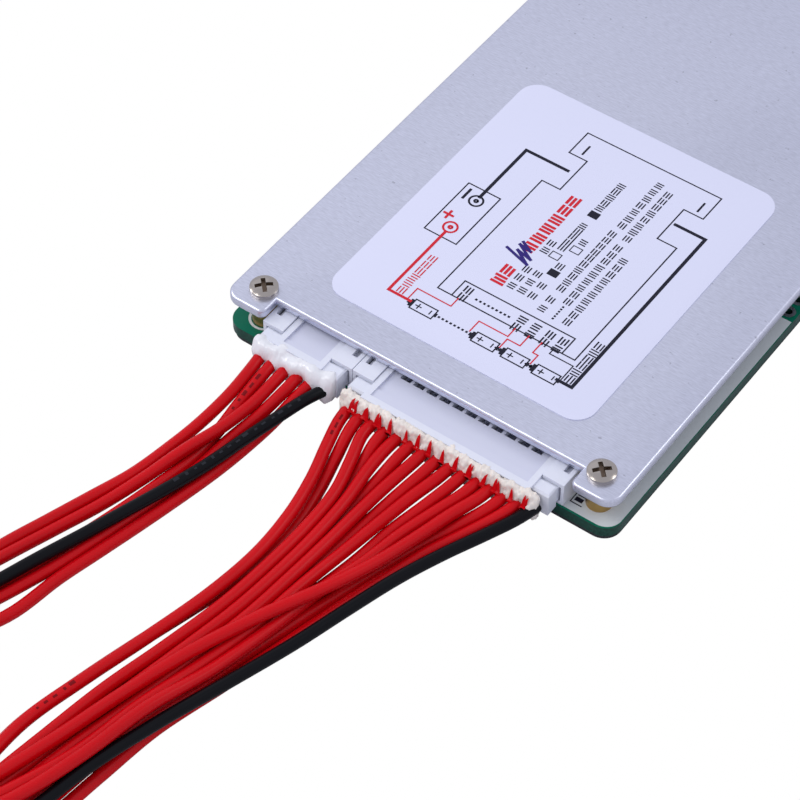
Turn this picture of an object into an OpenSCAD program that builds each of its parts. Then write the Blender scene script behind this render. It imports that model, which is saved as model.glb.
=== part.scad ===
// Battery management board. A circuit board lies on an insulating sheet, under an aluminium cover
// plate that draws heat from its power transistors. Two glued plugs bring in the cell sense leads.
// The origin is under the middle of the board, at the bottom of the sheet. The plugs face -Y.

/* [Cover plate] */
// Width of the cover plate and of the circuit board
plate_w = 60; // [60:1:80]
// Length of the cover plate
plate_l = 120; // [116:1:150]
// Thickness of the cover plate
plate_t = 1.5; // [1:0.1:3]
// Radius of the outer corners
plate_corner_r = 2.2; // [1:0.1:4]
// Width of each ear beside the plugs
ear_w = 6.4; // [6:0.1:8]
// Depth of the front recess that clears the plugs
recess_d = 3; // [2:0.1:5]
// Radius of the ears' inner corners
ear_inner_r = 1; // [0.5:0.1:1.5]
// Length of the side notches over the cable pads
notch_l = 22; // [18:1:26]
// Depth of the side notches
notch_d = 8.5; // [7:0.1:9]
// Distance from the notches to the far end
notch_end = 16; // [12:1:18]

/* [Circuit board] */
// Thickness of the circuit board
board_t = 1.6; // [1:0.1:2.4]
// How far the board's ends stay behind the plate's
board_setback = 0; // [0:0.1:1]
// Radius of the board's corners
board_corner_r = 2.5; // [1:0.1:4]
// Thickness of the insulating sheet
sheet_t = 0.8; // [0.4:0.1:1.6]
// How far the sheet stays inside the board's outline
sheet_inset = 0.2; // [0:0.1:1]
// Diameter of the spare plated holes by the right edge
spare_hole_d = 1; // [0.8:0.1:1.3]
// Spacing of the spare plated holes
spare_pitch = 2.54; // [2:0.01:3]
// Distance from the plate's front to the first spare hole
spare_y = 44.4; // [42:0.1:48]

/* [Standoffs and screws] */
// Height of the standoffs, which is the gap under the plate
standoff_h = 4; // [4:0.1:6]
// Diameter of the standoffs
standoff_d = 3.5; // [3.2:0.1:4]
// Distance from the plate's side to each screw
screw_inset_x = 4; // [3.5:0.1:4.2]
// Distance from the plate's end to each screw
screw_inset_y = 3.5; // [3.3:0.1:5]
// Thread diameter of the screws
thread_d = 2; // [1.6:0.1:2.2]
// Length of the screws under the head
screw_l = 5.5; // [4:0.5:6]
// Diameter of the screw heads
head_d = 3.8; // [3.4:0.1:4.2]
// Height of the screw heads
head_h = 0.95; // [0.8:0.05:1.4]
// Depth of the cross in the screw heads
cross_deep = 0.65; // [0.4:0.05:0.8]
// Width of the cross's slots
cross_w = 0.6; // [0.4:0.05:0.7]
// Diameter of the rivet shank in the board
shank_d = 2.7; // [2.6:0.1:3]

/* [Plugs] */
// Spacing of the contacts
pitch = 2; // [2:0.01:2.04]
// Distance from the board's left side to the middle of the small plug
small_x = 13.35; // [13:0.05:14.5]
// Gap between the two headers
header_gap = 0.1; // [0.1:0.05:0.3]
// Distance from the outer contacts to the header's ends
header_end = 2.1; // [2:0.05:2.3]
// Height of the headers, a little under the standoffs'
header_h = 3.9; // [3.8:0.05:3.95]
// Depth of the headers
header_d = 7.6; // [7:0.1:9]
// Wall thickness of the headers
header_wall = 0.5; // [0.4:0.05:0.6]
// Distance from the board's front to the headers
header_in = 0.25; // [0.1:0.05:0.5]
// Width of the roof at each end of a header
roof_w = 3.2; // [3:0.1:3.6]
// Thickness of the plugs' flange in front of the headers
flange_d = 1.8; // [1.4:0.1:2.6]
// Width of the ribs on top of the plugs
rib_w = 0.85; // [0.6:0.05:1.1]
// Thickness of the glue over the wire entries
glue_d = 1.1; // [0.8:0.1:1.5]
// Width of the square pins
pin_w = 0.5; // [0.4:0.05:0.6]

/* [Power stage] */
// Width of a power transistor
fet_w = 6.6; // [6.2:0.1:6.8]
// Length of a power transistor's body
fet_l = 6.1; // [5.8:0.1:6.4]
// Height of a power transistor
fet_h = 2.3; // [2.1:0.1:2.6]
// Spacing of the power transistors
fet_pitch = 7.5; // [7:0.1:7.6]
// Distance from the plate's front to the first row of power transistors
fet_y = 53; // [52:0.5:54]
// Distance from the shunt resistors to the first row of power transistors
shunt_gap = 5; // [4:0.1:6]
// Width of the bus bars
bus_w = 4; // [3:0.1:4.4]
// Thickness of the bus bars
bus_t = 1; // [0.6:0.1:1.5]
// Width of the cable pads
pad_w = 7.4; // [6.4:0.1:7.6]
// Length of the cable pads
pad_l = 18; // [14:0.5:20]
// Thickness of the tinned pads
pad_t = 0.3; // [0.1:0.05:0.5]
// Diameter of the cable holes
cable_hole_d = 3.2; // [2.5:0.1:4]
// Spacing of the cable holes
cable_hole_gap = 8; // [6:0.5:9]

/* [Small parts] */
// Spacing of the small parts in a row
cell_pitch = 2.6; // [2.55:0.05:2.65]
// Distance from the plate's front to the row of balance resistors
balance_y = 14; // [13:0.5:15]
// Spacing of the rows of small parts
row_pitch = 5; // [4.6:0.1:5.4]

/* [Label] */
// Width of the wiring label
label_w = 40.2; // [30:0.1:42]
// Length of the wiring label
label_l = 48; // [40:0.5:60]
// Corner radius of the wiring label
label_r = 3; // [1:0.1:5]
// Thickness of the wiring label
label_t = 0.12; // [0.08:0.02:0.3]
// Distance from the plate's front to the label
label_y = 8.2; // [7:0.1:12]

/* [Sense leads] */
// Outer diameter of the leads
wire_d = 1.65; // [1.3:0.05:1.65]

/* [Hidden] */

// how finely round shapes are drawn
fine = 48;
plain = 24;
// how far a cut runs past the face that it opens
over = 1;

// ways of the two plugs
small_ways = 6;
large_ways = 15;

// small clearances
screw_clear = 0.05;
plate_hole_clear = 0.2;
shank_clear = 0.05;
fit_clear = 0.1;
bus_clear = 0.3;
pin_clear = 0.05;
pin_hole_clear = 0.15;

// levels
board_z = sheet_t + board_t;
plate_z = board_z + standoff_h;

// the plugs and their glue are what reaches furthest to the front
front_reach = flange_d + fit_clear + glue_d - board_setback;
plate_y = (front_reach - plate_l) / 2;
board_y = plate_y + board_setback;
board_l = plate_l - 2 * board_setback;
glue_y = board_y - fit_clear - flange_d - glue_d;

// sizes and places of the two plugs
small_span = (small_ways - 1) * pitch;
large_span = (large_ways - 1) * pitch;
small_mid = small_x - plate_w / 2;
large_mid = small_mid + small_span / 2 + header_end + header_gap + header_end + large_span / 2;
floor_t = header_wall;
roof_t = header_wall + 0.2;
slot_w = 0.85;
slot_off = 0.6;
slot_y = 2;
rear_t = 1.2;
plug_l = header_d - rear_t - fit_clear;
flange_side = 1.3;
flange_top = header_h - 0.5;
flange_low = -0.9;
plug_low = floor_t + fit_clear;
plug_high = header_h - roof_t - fit_clear;
rib_top = header_h - 0.25;
window_drop = 0.45;
window_y = 1;
contact_z = 1.6;
exit_z = 1.4;
cavity_w = 1.3;
cavity_h = 1.4;
cavity_y = 0.6;
contact_w = 1.1;
contact_h = 1.2;
contact_l = 3.8;
lance_w = 1.55;
pin_tip_y = 2;

// The front screws stand in the ears. Where the headers reach too near, they stand behind the pins.
ear_room = min(plate_w / 2 + small_mid - small_span / 2, plate_w / 2 - large_mid - large_span / 2)
  - header_end;
pins_back = header_in + header_d + 1.5 * pin_w;
front_screw_y = ear_room < screw_inset_x + standoff_d / 2 + fit_clear
  ? pins_back + standoff_d / 2 + fit_clear : screw_inset_y;

// power stage
pad_side = 0.6;
pad_x = plate_w / 2 - pad_side - pad_w / 2;
fet_half = pad_x - bus_w / 2 - bus_clear;
fet_count = floor((2 * fet_half - fet_w) / fet_pitch) + 1;
fet_tab = 1;
fet_lead = 2.7;
fet_reach = fet_tab + fet_l + fet_lead;
bus_gap = 0.6;
second_row_y = fet_y + fet_reach + bus_w + 2 * bus_gap;
fet_span = (fet_count - 1) * fet_pitch + fet_w;
second_row_end = second_row_y + fet_reach;
notch_y = plate_l - notch_end - notch_l;
pad_y = notch_y + notch_l / 2;
shunt_y = fet_y - shunt_gap;

// sizes of the small parts: w across, l along and h up, and the spacing of the parts in a row
shunt_w = 6.4;
shunt_l = 3.2;
shunt_h = 0.7;
shunt_pitch = 9.5;
balance_w = 1.6;
balance_l = 3.2;
balance_h = 0.55;
signal_w = 1.3;
signal_l = 2.9;
signal_h = 1;
foot_w = 0.6;
foot_l = 0.4;
foot_pitch = 1.9;
capacitor_w = 1.25;
capacitor_l = 2;
capacitor_h = 0.9;
chip_w = 4.4;
chip_l = 5;
chip_h = 1;
chip_stand = 0.1;
chip_pitch = 12;
chip_back = 7;
chip_lead_w = 0.24;
chip_lead_t = 0.15;
chip_lead_l = 1;
chip_lead_gap = 0.65;
zener_w = 4.3;
zener_l = 3.6;
zener_h = 2.2;
zener_foot_w = 5.4;
zener_foot_l = 2;
zener_foot_h = 0.6;
zener_pitch = 14;
zener_back = 8.5;
thermistor_d = 1.6;
thermistor_l = 3;
thermistor_x = 5.5;

// rows of small parts, counted from the plate's front
signal_y = balance_y + row_pitch;
capacitor_y = signal_y + row_pitch;
chip_y = capacitor_y + chip_back;
zener_y = chip_y + zener_back;
cells = 20;

// Distances of the small bundle's stations from the glue, and the leads' places at each of them,
// with x from the plug's middle
small_y = [3, 7, 12, 17, 23, 29, 35, 41, 49, 57, 67];
small_route_x = [
  [-4.75, -4.95, -5.65, -6.55, -7.65, -9.55, -11.5, -13.45, -15.4, -16.85, -17.05],
  [-2.95, -3.15, -3.15, -3.2, -4.1, -5.3, -6.7, -8.2, -11.05, -14.25, -15.35],
  [-1.05, -1.35, -2.35, -3.95, -5.75, -7.65, -9.7, -11.65, -13.85, -16.2, -17.05],
  [0.9, 0.15, -1.05, -1.5, -2.35, -3.6, -4.95, -6.45, -9.15, -12.45, -13.65],
  [2.5, 2, 1.25, 0.45, -0.65, -1.9, -3.25, -4.6, -5.9, -9.4, -13.65],
  [4.05, 2.75, 1.25, -0.05, -1.75, -3.65, -5.65, -7.7, -10.3, -12.95, -15.35]];
small_route_z = [
  [3.55, 2.55, 1.5, 0.95, 0.85, 0.85, 0.85, 0.85, 0.85, 0.9, 0.85],
  [3.55, 2.35, 1.05, 0.85, 0.85, 0.85, 0.85, 0.85, 0.85, 0.85, 0.85],
  [3.6, 3.1, 2.75, 2.4, 1.45, 0.9, 0.85, 1, 1.65, 2.5, 2.55],
  [3.55, 2.4, 1.35, 0.9, 0.85, 0.85, 0.9, 0.9, 0.85, 0.85, 0.85],
  [3.05, 1.9, 1.15, 0.85, 0.85, 0.85, 0.85, 0.85, 0.95, 1.85, 2.55],
  [4, 3.5, 2.95, 2.55, 2.5, 2.55, 2.5, 2.5, 2.4, 2.5, 2.55]];

// Distances of the large bundle's stations from the glue, and the leads' places at each of them,
// with x from the plug's middle
large_y = [3, 7, 12, 18, 25, 33, 42, 51, 60, 69, 78, 89];
large_route_x = [
  [-13.75, -12.7, -11.25, -10.15, -9.85, -10.75, -12.7, -14.9, -16.75, -16.85, -17.65, -18.05],
  [-11.9, -11.2, -10.25, -9.35, -9.55, -11.35, -13.8, -16, -17.75, -17.75, -18.3, -18.05],
  [-10.05, -8.85, -7.7, -7.45, -7.7, -8.45, -10.15, -12.1, -13.45, -14.9, -16.5, -16.35],
  [-8.15, -7.7, -7.45, -7.3, -7.55, -8.45, -10.35, -12.3, -13.55, -13.9, -14.7, -14.65],
  [-6.35, -6.35, -5.9, -5.75, -6, -6.75, -8.35, -10.1, -11.75, -13.3, -15.65, -16.35],
  [-4.35, -4.9, -5.5, -5.55, -5.85, -6.7, -8.65, -10.6, -11.9, -12.2, -13.05, -12.95],
  [-2.35, -3.1, -3.7, -4, -4.35, -5.05, -6.65, -8.3, -10.05, -11.6, -13.95, -14.65],
  [-0.35, -1.4, -2.5, -3.35, -4.1, -5, -6.95, -8.9, -10.2, -10.5, -11.35, -11.25],
  [1.55, 0.35, -0.75, -1.75, -2.6, -3.35, -5, -6.9, -8.45, -11.15, -14.85, -16.35],
  [3.55, 2.25, 0.65, -0.25, -1.6, -3.25, -5.25, -7.1, -8.7, -9.8, -11.35, -12.95],
  [5.65, 4.15, 2.45, 1.25, -0.55, -1.65, -3.3, -5.5, -7.15, -9.5, -13.25, -14.65],
  [7.5, 6.15, 4.65, 2.95, 0.45, -3.05, -6.6, -9.25, -11.3, -13.8, -16.8, -18.05],
  [9.35, 7.15, 4.55, 2.55, 0.55, -1.5, -3.65, -5.9, -7, -8.45, -11, -12.95],
  [11.25, 9.1, 6.35, 4.25, 2.25, 0.3, -2.1, -4.5, -5.65, -6.75, -8.9, -11.25],
  [13.05, 11.15, 8.65, 6.25, 4.15, 1.95, -0.95, -3.75, -6.1, -7.8, -9.65, -11.25]];
large_route_z = [
  [3.6, 3.3, 3, 2.8, 2.65, 2.6, 2.55, 2.55, 2.55, 2.55, 2.5, 2.55],
  [3.5, 2.3, 1.2, 0.85, 0.85, 0.85, 0.85, 0.85, 0.85, 0.85, 0.85, 0.85],
  [3.65, 3.45, 2.85, 2.55, 2.55, 2.55, 2.55, 2.6, 2.6, 2.25, 1.1, 0.85],
  [3.35, 2.05, 1.1, 0.85, 0.85, 0.85, 0.85, 0.85, 0.85, 0.85, 0.85, 0.85],
  [3.6, 3.2, 2.7, 2.55, 2.55, 2.55, 2.55, 2.55, 2.5, 2.75, 2.7, 2.55],
  [3.5, 2.15, 0.95, 0.85, 0.85, 0.85, 0.85, 0.85, 0.85, 0.85, 0.85, 0.85],
  [3.6, 2.95, 2.45, 2.4, 2.55, 2.55, 2.5, 2.5, 2.75, 2.6, 2.55, 2.55],
  [3.5, 2.35, 1.2, 0.85, 0.85, 0.85, 0.85, 0.9, 0.85, 0.85, 0.85, 0.85],
  [3.55, 2.85, 2.2, 1.95, 2.3, 2.55, 2.85, 3.45, 3.6, 4.25, 4.3, 4.25],
  [3.5, 2.4, 1.3, 0.9, 0.85, 0.85, 0.9, 0.9, 1.6, 2.65, 4.25, 4.25],
  [3.6, 2.9, 2.25, 2.05, 2.2, 2.65, 3.25, 4.55, 4.7, 4.85, 4.9, 4.25],
  [3.8, 3.6, 3.2, 3.3, 3.85, 4.25, 4.2, 4.05, 4.3, 4.35, 4.15, 4.25],
  [3.4, 2.15, 1.15, 0.85, 0.85, 0.95, 1.5, 2.05, 1.95, 1.45, 2.55, 2.55],
  [3.5, 2.5, 1.55, 1.1, 0.85, 0.85, 0.85, 0.85, 0.85, 0.95, 1.95, 2.55],
  [3.7, 3.4, 3, 2.8, 2.7, 2.7, 2.75, 3.1, 3.4, 3.35, 4.35, 4.25]];

// coils of the leads' spare length: middle radius, width, height, and where they lie
small_coil_r = 15;
small_coil_w = 5.4;
small_coil_h = 12.2;
small_lead_h = 3.5;
small_coil_at = [small_mid - 30.35, glue_y - 80.5];
large_coil_r = 18;
large_coil_w = 8.8;
large_coil_h = 14.6;
large_lead_h = 5.2;
large_coil_at = [large_mid + 3.35, glue_y - 107.5];
tie_w = 2.5;
tie_t = 0.5;

// distance between the rings of a lead, and sides of its section
ring_gap = 4;
wire_sides = 8;

// ---- flat outlines ----

// a rectangle with round corners, centred on X, from y = 0 to l
module rounded_rect(w, l, r) {
  difference() {
    translate([-w / 2, 0]) square([w, l]);
    for (sx = [-1, 1], ey = [0, 1])
      translate([sx * (w / 2 - r), ey == 0 ? r : l - r])
        corner_waste(r, sx, ey == 0 ? -1 : 1);
  }
}

// what a round corner leaves out of its square
module corner_waste(r, sx, sy) {
  difference() {
    translate([sx > 0 ? 0 : -r - over, sy > 0 ? 0 : -r - over]) square(r + over);
    circle(r, $fn = fine);
  }
}

// the cover plate: ears beside the plugs, side notches over the cable pads
module plate_outline() {
  recess_half = plate_w / 2 - ear_w;
  difference() {
    rounded_rect(plate_w, plate_l, plate_corner_r);
    translate([-recess_half, -over]) square([2 * recess_half, recess_d + over]);
    for (sx = [-1, 1]) {
      translate([sx * (recess_half + ear_inner_r), ear_inner_r])
        corner_waste(ear_inner_r, -sx, -1);
      translate([sx * plate_w / 2, notch_y + notch_l / 2])
        square([2 * notch_d, notch_l], center = true);
    }
  }
}

// puts a child at each screw
module at_screws() {
  for (sx = [-1, 1], y = [front_screw_y, plate_l - screw_inset_y])
    translate([sx * (plate_w / 2 - screw_inset_x), plate_y + y, 0]) children();
}

// puts a child at each cable pad
module at_pads() {
  for (sx = [-1, 1])
    translate([sx * pad_x, plate_y + pad_y, board_z]) children();
}

// puts a child at each contact of a plug, at the front of the header on the board
module at_ways(ways, x) {
  for (i = [0:ways - 1])
    translate([x + (i - (ways - 1) / 2) * pitch, board_y + header_in, board_z]) children();
}

// puts a child at each place of a row on the board
module row(count, gap, y) {
  for (i = [0:count - 1])
    translate([(i - (count - 1) / 2) * gap, plate_y + y, board_z]) children();
}

// a block centred on X and Y, standing on z = 0
module block(size) {
  translate([-size[0] / 2, -size[1] / 2, 0]) cube(size);
}

// ---- board, sheet and plate ----

module insulating_sheet() {
  color("#1c1e22")
    translate([0, board_y + sheet_inset, 0])
      linear_extrude(sheet_t)
        rounded_rect(plate_w - 2 * sheet_inset, board_l - 2 * sheet_inset, board_corner_r);
}

module circuit_board() {
  color("#0a6e55")
    difference() {
      translate([0, board_y, sheet_t])
        linear_extrude(board_t) rounded_rect(plate_w, board_l, board_corner_r);
      at_screws() cylinder(d = shank_d + 2 * shank_clear, h = 2 * plate_z, $fn = fine, center = true);
      for (plug = [[small_ways, small_mid], [large_ways, large_mid]])
        at_ways(plug[0], plug[1])
          translate([0, header_d + pin_w, 0])
            cylinder(d = pin_w * sqrt(2) + 2 * pin_hole_clear, h = 4 * board_t, $fn = plain,
              center = true);
      at_pads() cable_holes();
      for (i = [0:3])
        translate([plate_w / 2 - 1.4, plate_y + spare_y + i * spare_pitch, board_z])
          cylinder(d = spare_hole_d, h = 4 * board_t, $fn = plain, center = true);
    }
}

module cable_holes() {
  for (sy = [-1, 1])
    translate([0, sy * cable_hole_gap / 2, 0])
      cylinder(d = cable_hole_d, h = 4 * board_t, $fn = fine, center = true);
}

module cover_plate() {
  color("#bec4d6")
    difference() {
      translate([0, plate_y, plate_z]) linear_extrude(plate_t) plate_outline();
      at_screws()
        cylinder(d = thread_d + 2 * plate_hole_clear, h = 3 * plate_z, $fn = fine, center = true);
    }
}

module wiring_label() {
  color("#d8dcf2")
    translate([0, plate_y + label_y, plate_z + plate_t])
      linear_extrude(label_t) rounded_rect(label_w, label_l, label_r);
}

module standoffs() {
  color("#b08a3c")
    at_screws()
      difference() {
        union() {
          translate([0, 0, board_z]) cylinder(d = standoff_d, h = standoff_h, $fn = fine);
          translate([0, 0, sheet_t]) cylinder(d = shank_d, h = board_t + over / 2, $fn = fine);
        }
        translate([0, 0, sheet_t - over])
          cylinder(d = thread_d + 2 * screw_clear, h = 2 * plate_z, $fn = fine);
      }
}

module cover_screws() {
  edge_drop = 0.34;
  cross_l = 0.64 * head_d;
  dome_r = (pow(head_d / 2, 2) + pow(edge_drop, 2)) / (2 * edge_drop);
  color("#c9c4bc")
    at_screws()
      translate([0, 0, plate_z + plate_t]) {
        difference() {
          intersection() {
            cylinder(d = head_d, h = head_h, $fn = fine);
            translate([0, 0, head_h - dome_r]) sphere(dome_r, $fn = 96);
          }
          for (a = [45, 135])
            rotate([0, 0, a])
              translate([0, 0, head_h - cross_deep]) block([cross_l, cross_w, over]);
        }
        translate([0, 0, -screw_l]) cylinder(d = thread_d, h = screw_l + 0.1, $fn = fine);
      }
}

// ---- headers, plugs, pins and glue ----

// a side-entry header: floor, rear wall, side walls and a short roof over each end
module header(ways, x) {
  half = (ways - 1) * pitch / 2 + header_end;
  depth = header_d - rear_t;
  color("#e6e6f0")
    translate([x, board_y + header_in, board_z])
      difference() {
        translate([-half, 0, 0]) cube([2 * half, header_d, header_h]);
        translate([-half + header_wall, -over, floor_t])
          cube([2 * (half - header_wall), depth + over, header_h - floor_t - roof_t]);
        translate([-half + roof_w, -over, floor_t])
          cube([2 * (half - roof_w), depth + over, header_h]);
        for (sx = [-1, 1])
          translate([sx * (half - slot_off - slot_w / 2) - slot_w / 2, slot_y, header_h - roof_t - over])
            cube([slot_w, depth - slot_y, 2 * over + roof_t]);
        for (i = [0:ways - 1])
          translate([(i - (ways - 1) / 2) * pitch - pin_w / 2 - pin_clear, depth - over,
              contact_z - pin_w / 2 - pin_clear])
            cube([pin_w + 2 * pin_clear, rear_t + 2 * over, pin_w + 2 * pin_clear]);
      }
}

// a plug housing: flange in front, body in the header, a raised slab with a lip and two ribs
module plug(ways, x, lance_y, rib_y, lip_out) {
  span = (ways - 1) * pitch;
  half = span / 2 + flange_side;
  raised = span / 2 + header_end - roof_w - fit_clear;
  window = raised - rib_w;
  front = -header_in - fit_clear - flange_d;
  slab_top = rib_top - window_drop;
  color("#ececf6")
    translate([x, board_y + header_in, board_z])
      difference() {
        union() {
          flange(half, front);
          translate([-half, front + flange_d - fit_clear, plug_low])
            cube([2 * half, plug_l - front - flange_d + fit_clear, plug_high - plug_low]);
          translate([-raised, front, plug_low])
            cube([2 * raised, plug_l - front, slab_top - plug_low]);
          translate([-raised, front - lip_out, 0]) lip(2 * raised, lip_out);
          for (sx = [-1, 1])
            translate([sx * (raised - rib_w / 2), 0, 0])
              rib(front - lip_out + window_y - 2 * fit_clear, rib_y);
        }
        for (i = [0:ways - 1]) {
          translate([(i - (ways - 1) / 2) * pitch - cavity_w / 2, cavity_y, contact_z - cavity_h / 2])
            cube([cavity_w, header_d, cavity_h]);
          if (abs(i - (ways - 1) / 2) * pitch + lance_w / 2 < window)
            translate([(i - (ways - 1) / 2) * pitch - lance_w / 2, lance_y, contact_z])
              cube([lance_w, plug_l - lance_y - header_wall, header_h]);
        }
      }
}

// the lip at the front of the raised slab, which may overhang the glue
module lip(w, out) {
  root = flange_top - 0.8;
  rotate([90, 0, 90])
    linear_extrude(w)
      polygon([[out + 0.05, root], [window_y, root], [window_y, rib_top], [0, rib_top],
          [0, flange_top], [out + 0.05, flange_top]]);
}

// a rib on the plug's top, round at its rear end
module rib(from, to) {
  low = flange_top - 0.6;
  translate([-rib_w / 2, from, low]) cube([rib_w, to - from - rib_w / 2, rib_top - low]);
  translate([0, to - rib_w / 2, low]) cylinder(d = rib_w, h = rib_top - low, $fn = plain);
}

// the flange hangs past the board's front, with its lower edges and corners cut off
module flange(half, front) {
  cut = 0.6;
  top = flange_top;
  low = flange_low;
  intersection() {
    translate([-half, front, 0])
      rotate([90, 0, 90])
        linear_extrude(2 * half)
          polygon([[cut, low], [flange_d - cut / 2, low], [flange_d, low + cut / 2],
              [flange_d, top], [cut / 2, top], [0, top - cut / 2], [0, low + cut]]);
    translate([0, front + flange_d, 0])
      rotate([90, 0, 0])
        linear_extrude(flange_d)
          polygon([[cut - half, low], [half - cut, low], [half, low + cut], [half, top - cut / 3],
              [half - cut / 3, top], [cut / 3 - half, top], [-half, top - cut / 3], [-half, low + cut]]);
  }
}

module small_header() {
  header(small_ways, small_mid);
}

module large_header() {
  header(large_ways, large_mid);
}

module small_plug() {
  plug(small_ways, small_mid, 4, 4.6, 0);
}

module large_plug() {
  plug(large_ways, large_mid, 2.9, 3.4, 0.7);
}

module header_pins() {
  leg_y = header_d + pin_w;
  color("#c8c4b8")
    for (plug = [[small_ways, small_mid], [large_ways, large_mid]])
      at_ways(plug[0], plug[1]) {
        translate([-pin_w / 2, pin_tip_y, contact_z - pin_w / 2])
          cube([pin_w, leg_y + pin_w / 2 - pin_tip_y, pin_w]);
        translate([-pin_w / 2, leg_y - pin_w / 2, -board_t])
          cube([pin_w, pin_w, board_t + contact_z + pin_w / 2]);
      }
}

module crimp_contacts() {
  bottom = contact_z - cavity_h / 2 + pin_clear;
  color("#b9b4a4")
    for (plug = [[small_ways, small_mid], [large_ways, large_mid]])
      at_ways(plug[0], plug[1])
        difference() {
          translate([-contact_w / 2, pin_tip_y - 0.2, bottom]) cube([contact_w, contact_l, contact_h]);
          translate([-contact_w / 2 + 0.2, pin_tip_y - over, bottom + 0.3])
            cube([contact_w - 0.4, contact_l + 2 * over, contact_h - 0.5]);
        }
}

// a bead of glue with round edges along the wire entries
module glue(ways, x) {
  half = (ways - 1) * pitch / 2 + flange_side + 0.1;
  bead_r = 0.5;
  low = -0.2;
  high = flange_top - 0.1;
  color("#ece6dc")
    translate([x - half, glue_y, board_z])
      rotate([90, 0, 90])
        linear_extrude(2 * half)
          difference() {
            translate([0, low]) square([glue_d, high - low]);
            translate([bead_r, low + bead_r]) corner_waste(bead_r, -1, -1);
            translate([bead_r, high - bead_r]) corner_waste(bead_r, -1, 1);
          }
}

module small_plug_glue() {
  glue(small_ways, small_mid);
}

module large_plug_glue() {
  glue(large_ways, large_mid);
}

// ---- power stage ----

// puts a child at each power transistor, with its tab towards -Y in the first row
module at_fets() {
  row(fet_count, fet_pitch, fet_y) children();
  row(fet_count, fet_pitch, second_row_end) mirror([0, 1, 0]) children();
}

// side view of a transistor body, with its moulding draft
module power_transistors() {
  draft = 0.25;
  color("#1e1f22")
    at_fets()
      translate([-fet_w / 2, fet_tab, 0])
        rotate([90, 0, 90])
          linear_extrude(fet_w)
            polygon([[0, 0.6], [draft, fet_h], [fet_l - draft, fet_h], [fet_l, fet_h / 2],
                [fet_l - draft, 0.1], [0, 0.1]]);
}

// copper tab in front of each body and two bent leads behind it
module transistor_tabs() {
  lead_w = 0.75;
  lead_t = 0.5;
  lead_z = 0.9;
  color("#c4c6c8")
    at_fets() {
      translate([-fet_w / 2 + 0.6, 0, 0]) cube([fet_w - 1.2, fet_tab, 0.5]);
      for (sx = [-1, 1])
        translate([sx * 2.28 - lead_w / 2, fet_tab + fet_l, 0])
          rotate([90, 0, 90])
            linear_extrude(lead_w)
              polygon([[0, lead_z], [0.8, lead_z], [1.2, 0], [fet_lead, 0], [fet_lead, lead_t],
                  [1.6, lead_t], [1.2, lead_z + lead_t], [0, lead_z + lead_t]]);
    }
}

module thermal_pad() {
  color("#8fa6b8")
    translate([-fet_span / 2, plate_y + fet_y + fet_tab, board_z + fet_h])
      cube([fet_span, second_row_end - fet_y - 2 * fet_tab, standoff_h - fet_h]);
}

module bus_bars() {
  mid_y = fet_y + fet_reach + bus_gap;
  half = min(fet_span / 2, pad_x - pad_w / 2 - fit_clear);
  color("#b9bcc0")
    translate([0, plate_y, board_z]) {
      translate([-half, mid_y, 0]) cube([2 * half, bus_w, bus_t]);
      translate([-half, second_row_end + bus_gap, 0]) cube([2 * half, bus_w, bus_t]);
      translate([pad_x - bus_w / 2, shunt_y - bus_w / 2, 0])
        cube([bus_w, pad_y - pad_l / 2 - shunt_y + bus_w / 2 - fit_clear, bus_t]);
    }
}

module cable_pads() {
  color("#c6c8cc")
    at_pads()
      difference() {
        block([pad_w, pad_l, pad_t]);
        cable_holes();
      }
}

module shunt_resistors() {
  color("#2a2c30") row(4, shunt_pitch, shunt_y) block([shunt_w, shunt_l, shunt_h]);
}

// ---- small parts ----

module balance_resistors() {
  color("#26282c") row(cells, cell_pitch, balance_y) block([balance_w, balance_l, balance_h]);
}

module signal_transistors() {
  foot_x = (signal_w + foot_w) / 2 - fit_clear / 2;
  color("#202226")
    row(cells, cell_pitch, signal_y) {
      block([signal_w, signal_l, signal_h]);
      translate([foot_x, 0, 0]) block([foot_w, foot_l, foot_l]);
      for (sy = [-1, 1])
        translate([-foot_x, sy * foot_pitch / 2, 0]) block([foot_w, foot_l, foot_l]);
    }
}

module filter_capacitors() {
  color("#b89a70") row(cells, cell_pitch, capacitor_y) block([capacitor_w, capacitor_l, capacitor_h]);
}

// flat-pack chips, one for every five cells
module monitor_chips() {
  color("#1d1e22")
    row(cells / 5, chip_pitch, chip_y) translate([0, 0, chip_stand]) block([chip_w, chip_l, chip_h]);
}

module chip_leads() {
  top = (chip_stand + chip_h) / 2 + chip_lead_t / 2;
  bend = chip_lead_l / 2;
  color("#c8cacc")
    row(cells / 5, chip_pitch, chip_y)
      for (sx = [-1, 1], i = [0:6])
        translate([sx * chip_w / 2, (i - 3) * chip_lead_gap, 0])
          mirror([sx > 0 ? 0 : 1, 0, 0])
            translate([0, chip_lead_w / 2, 0])
              rotate([90, 0, 0])
                linear_extrude(chip_lead_w)
                  polygon([[0, top - chip_lead_t], [bend - chip_lead_t, top - chip_lead_t], [bend, 0],
                      [chip_lead_l, 0], [chip_lead_l, chip_lead_t], [bend + chip_lead_t, chip_lead_t],
                      [bend, top], [0, top]]);
}

module zener_diodes() {
  color("#222428")
    row(3, zener_pitch, zener_y) {
      block([zener_w, zener_l, zener_h]);
      block([zener_foot_w, zener_foot_l, zener_foot_h]);
    }
}

module thermistor() {
  color("#3a3230")
    translate([thermistor_x - plate_w / 2, plate_y + fet_y + fet_reach + bus_gap + bus_w / 2,
        board_z + thermistor_d / 2])
      rotate([90, 0, 0]) cylinder(d = thermistor_d, h = thermistor_l, $fn = fine, center = true);
}

// ---- sense leads ----

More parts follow.
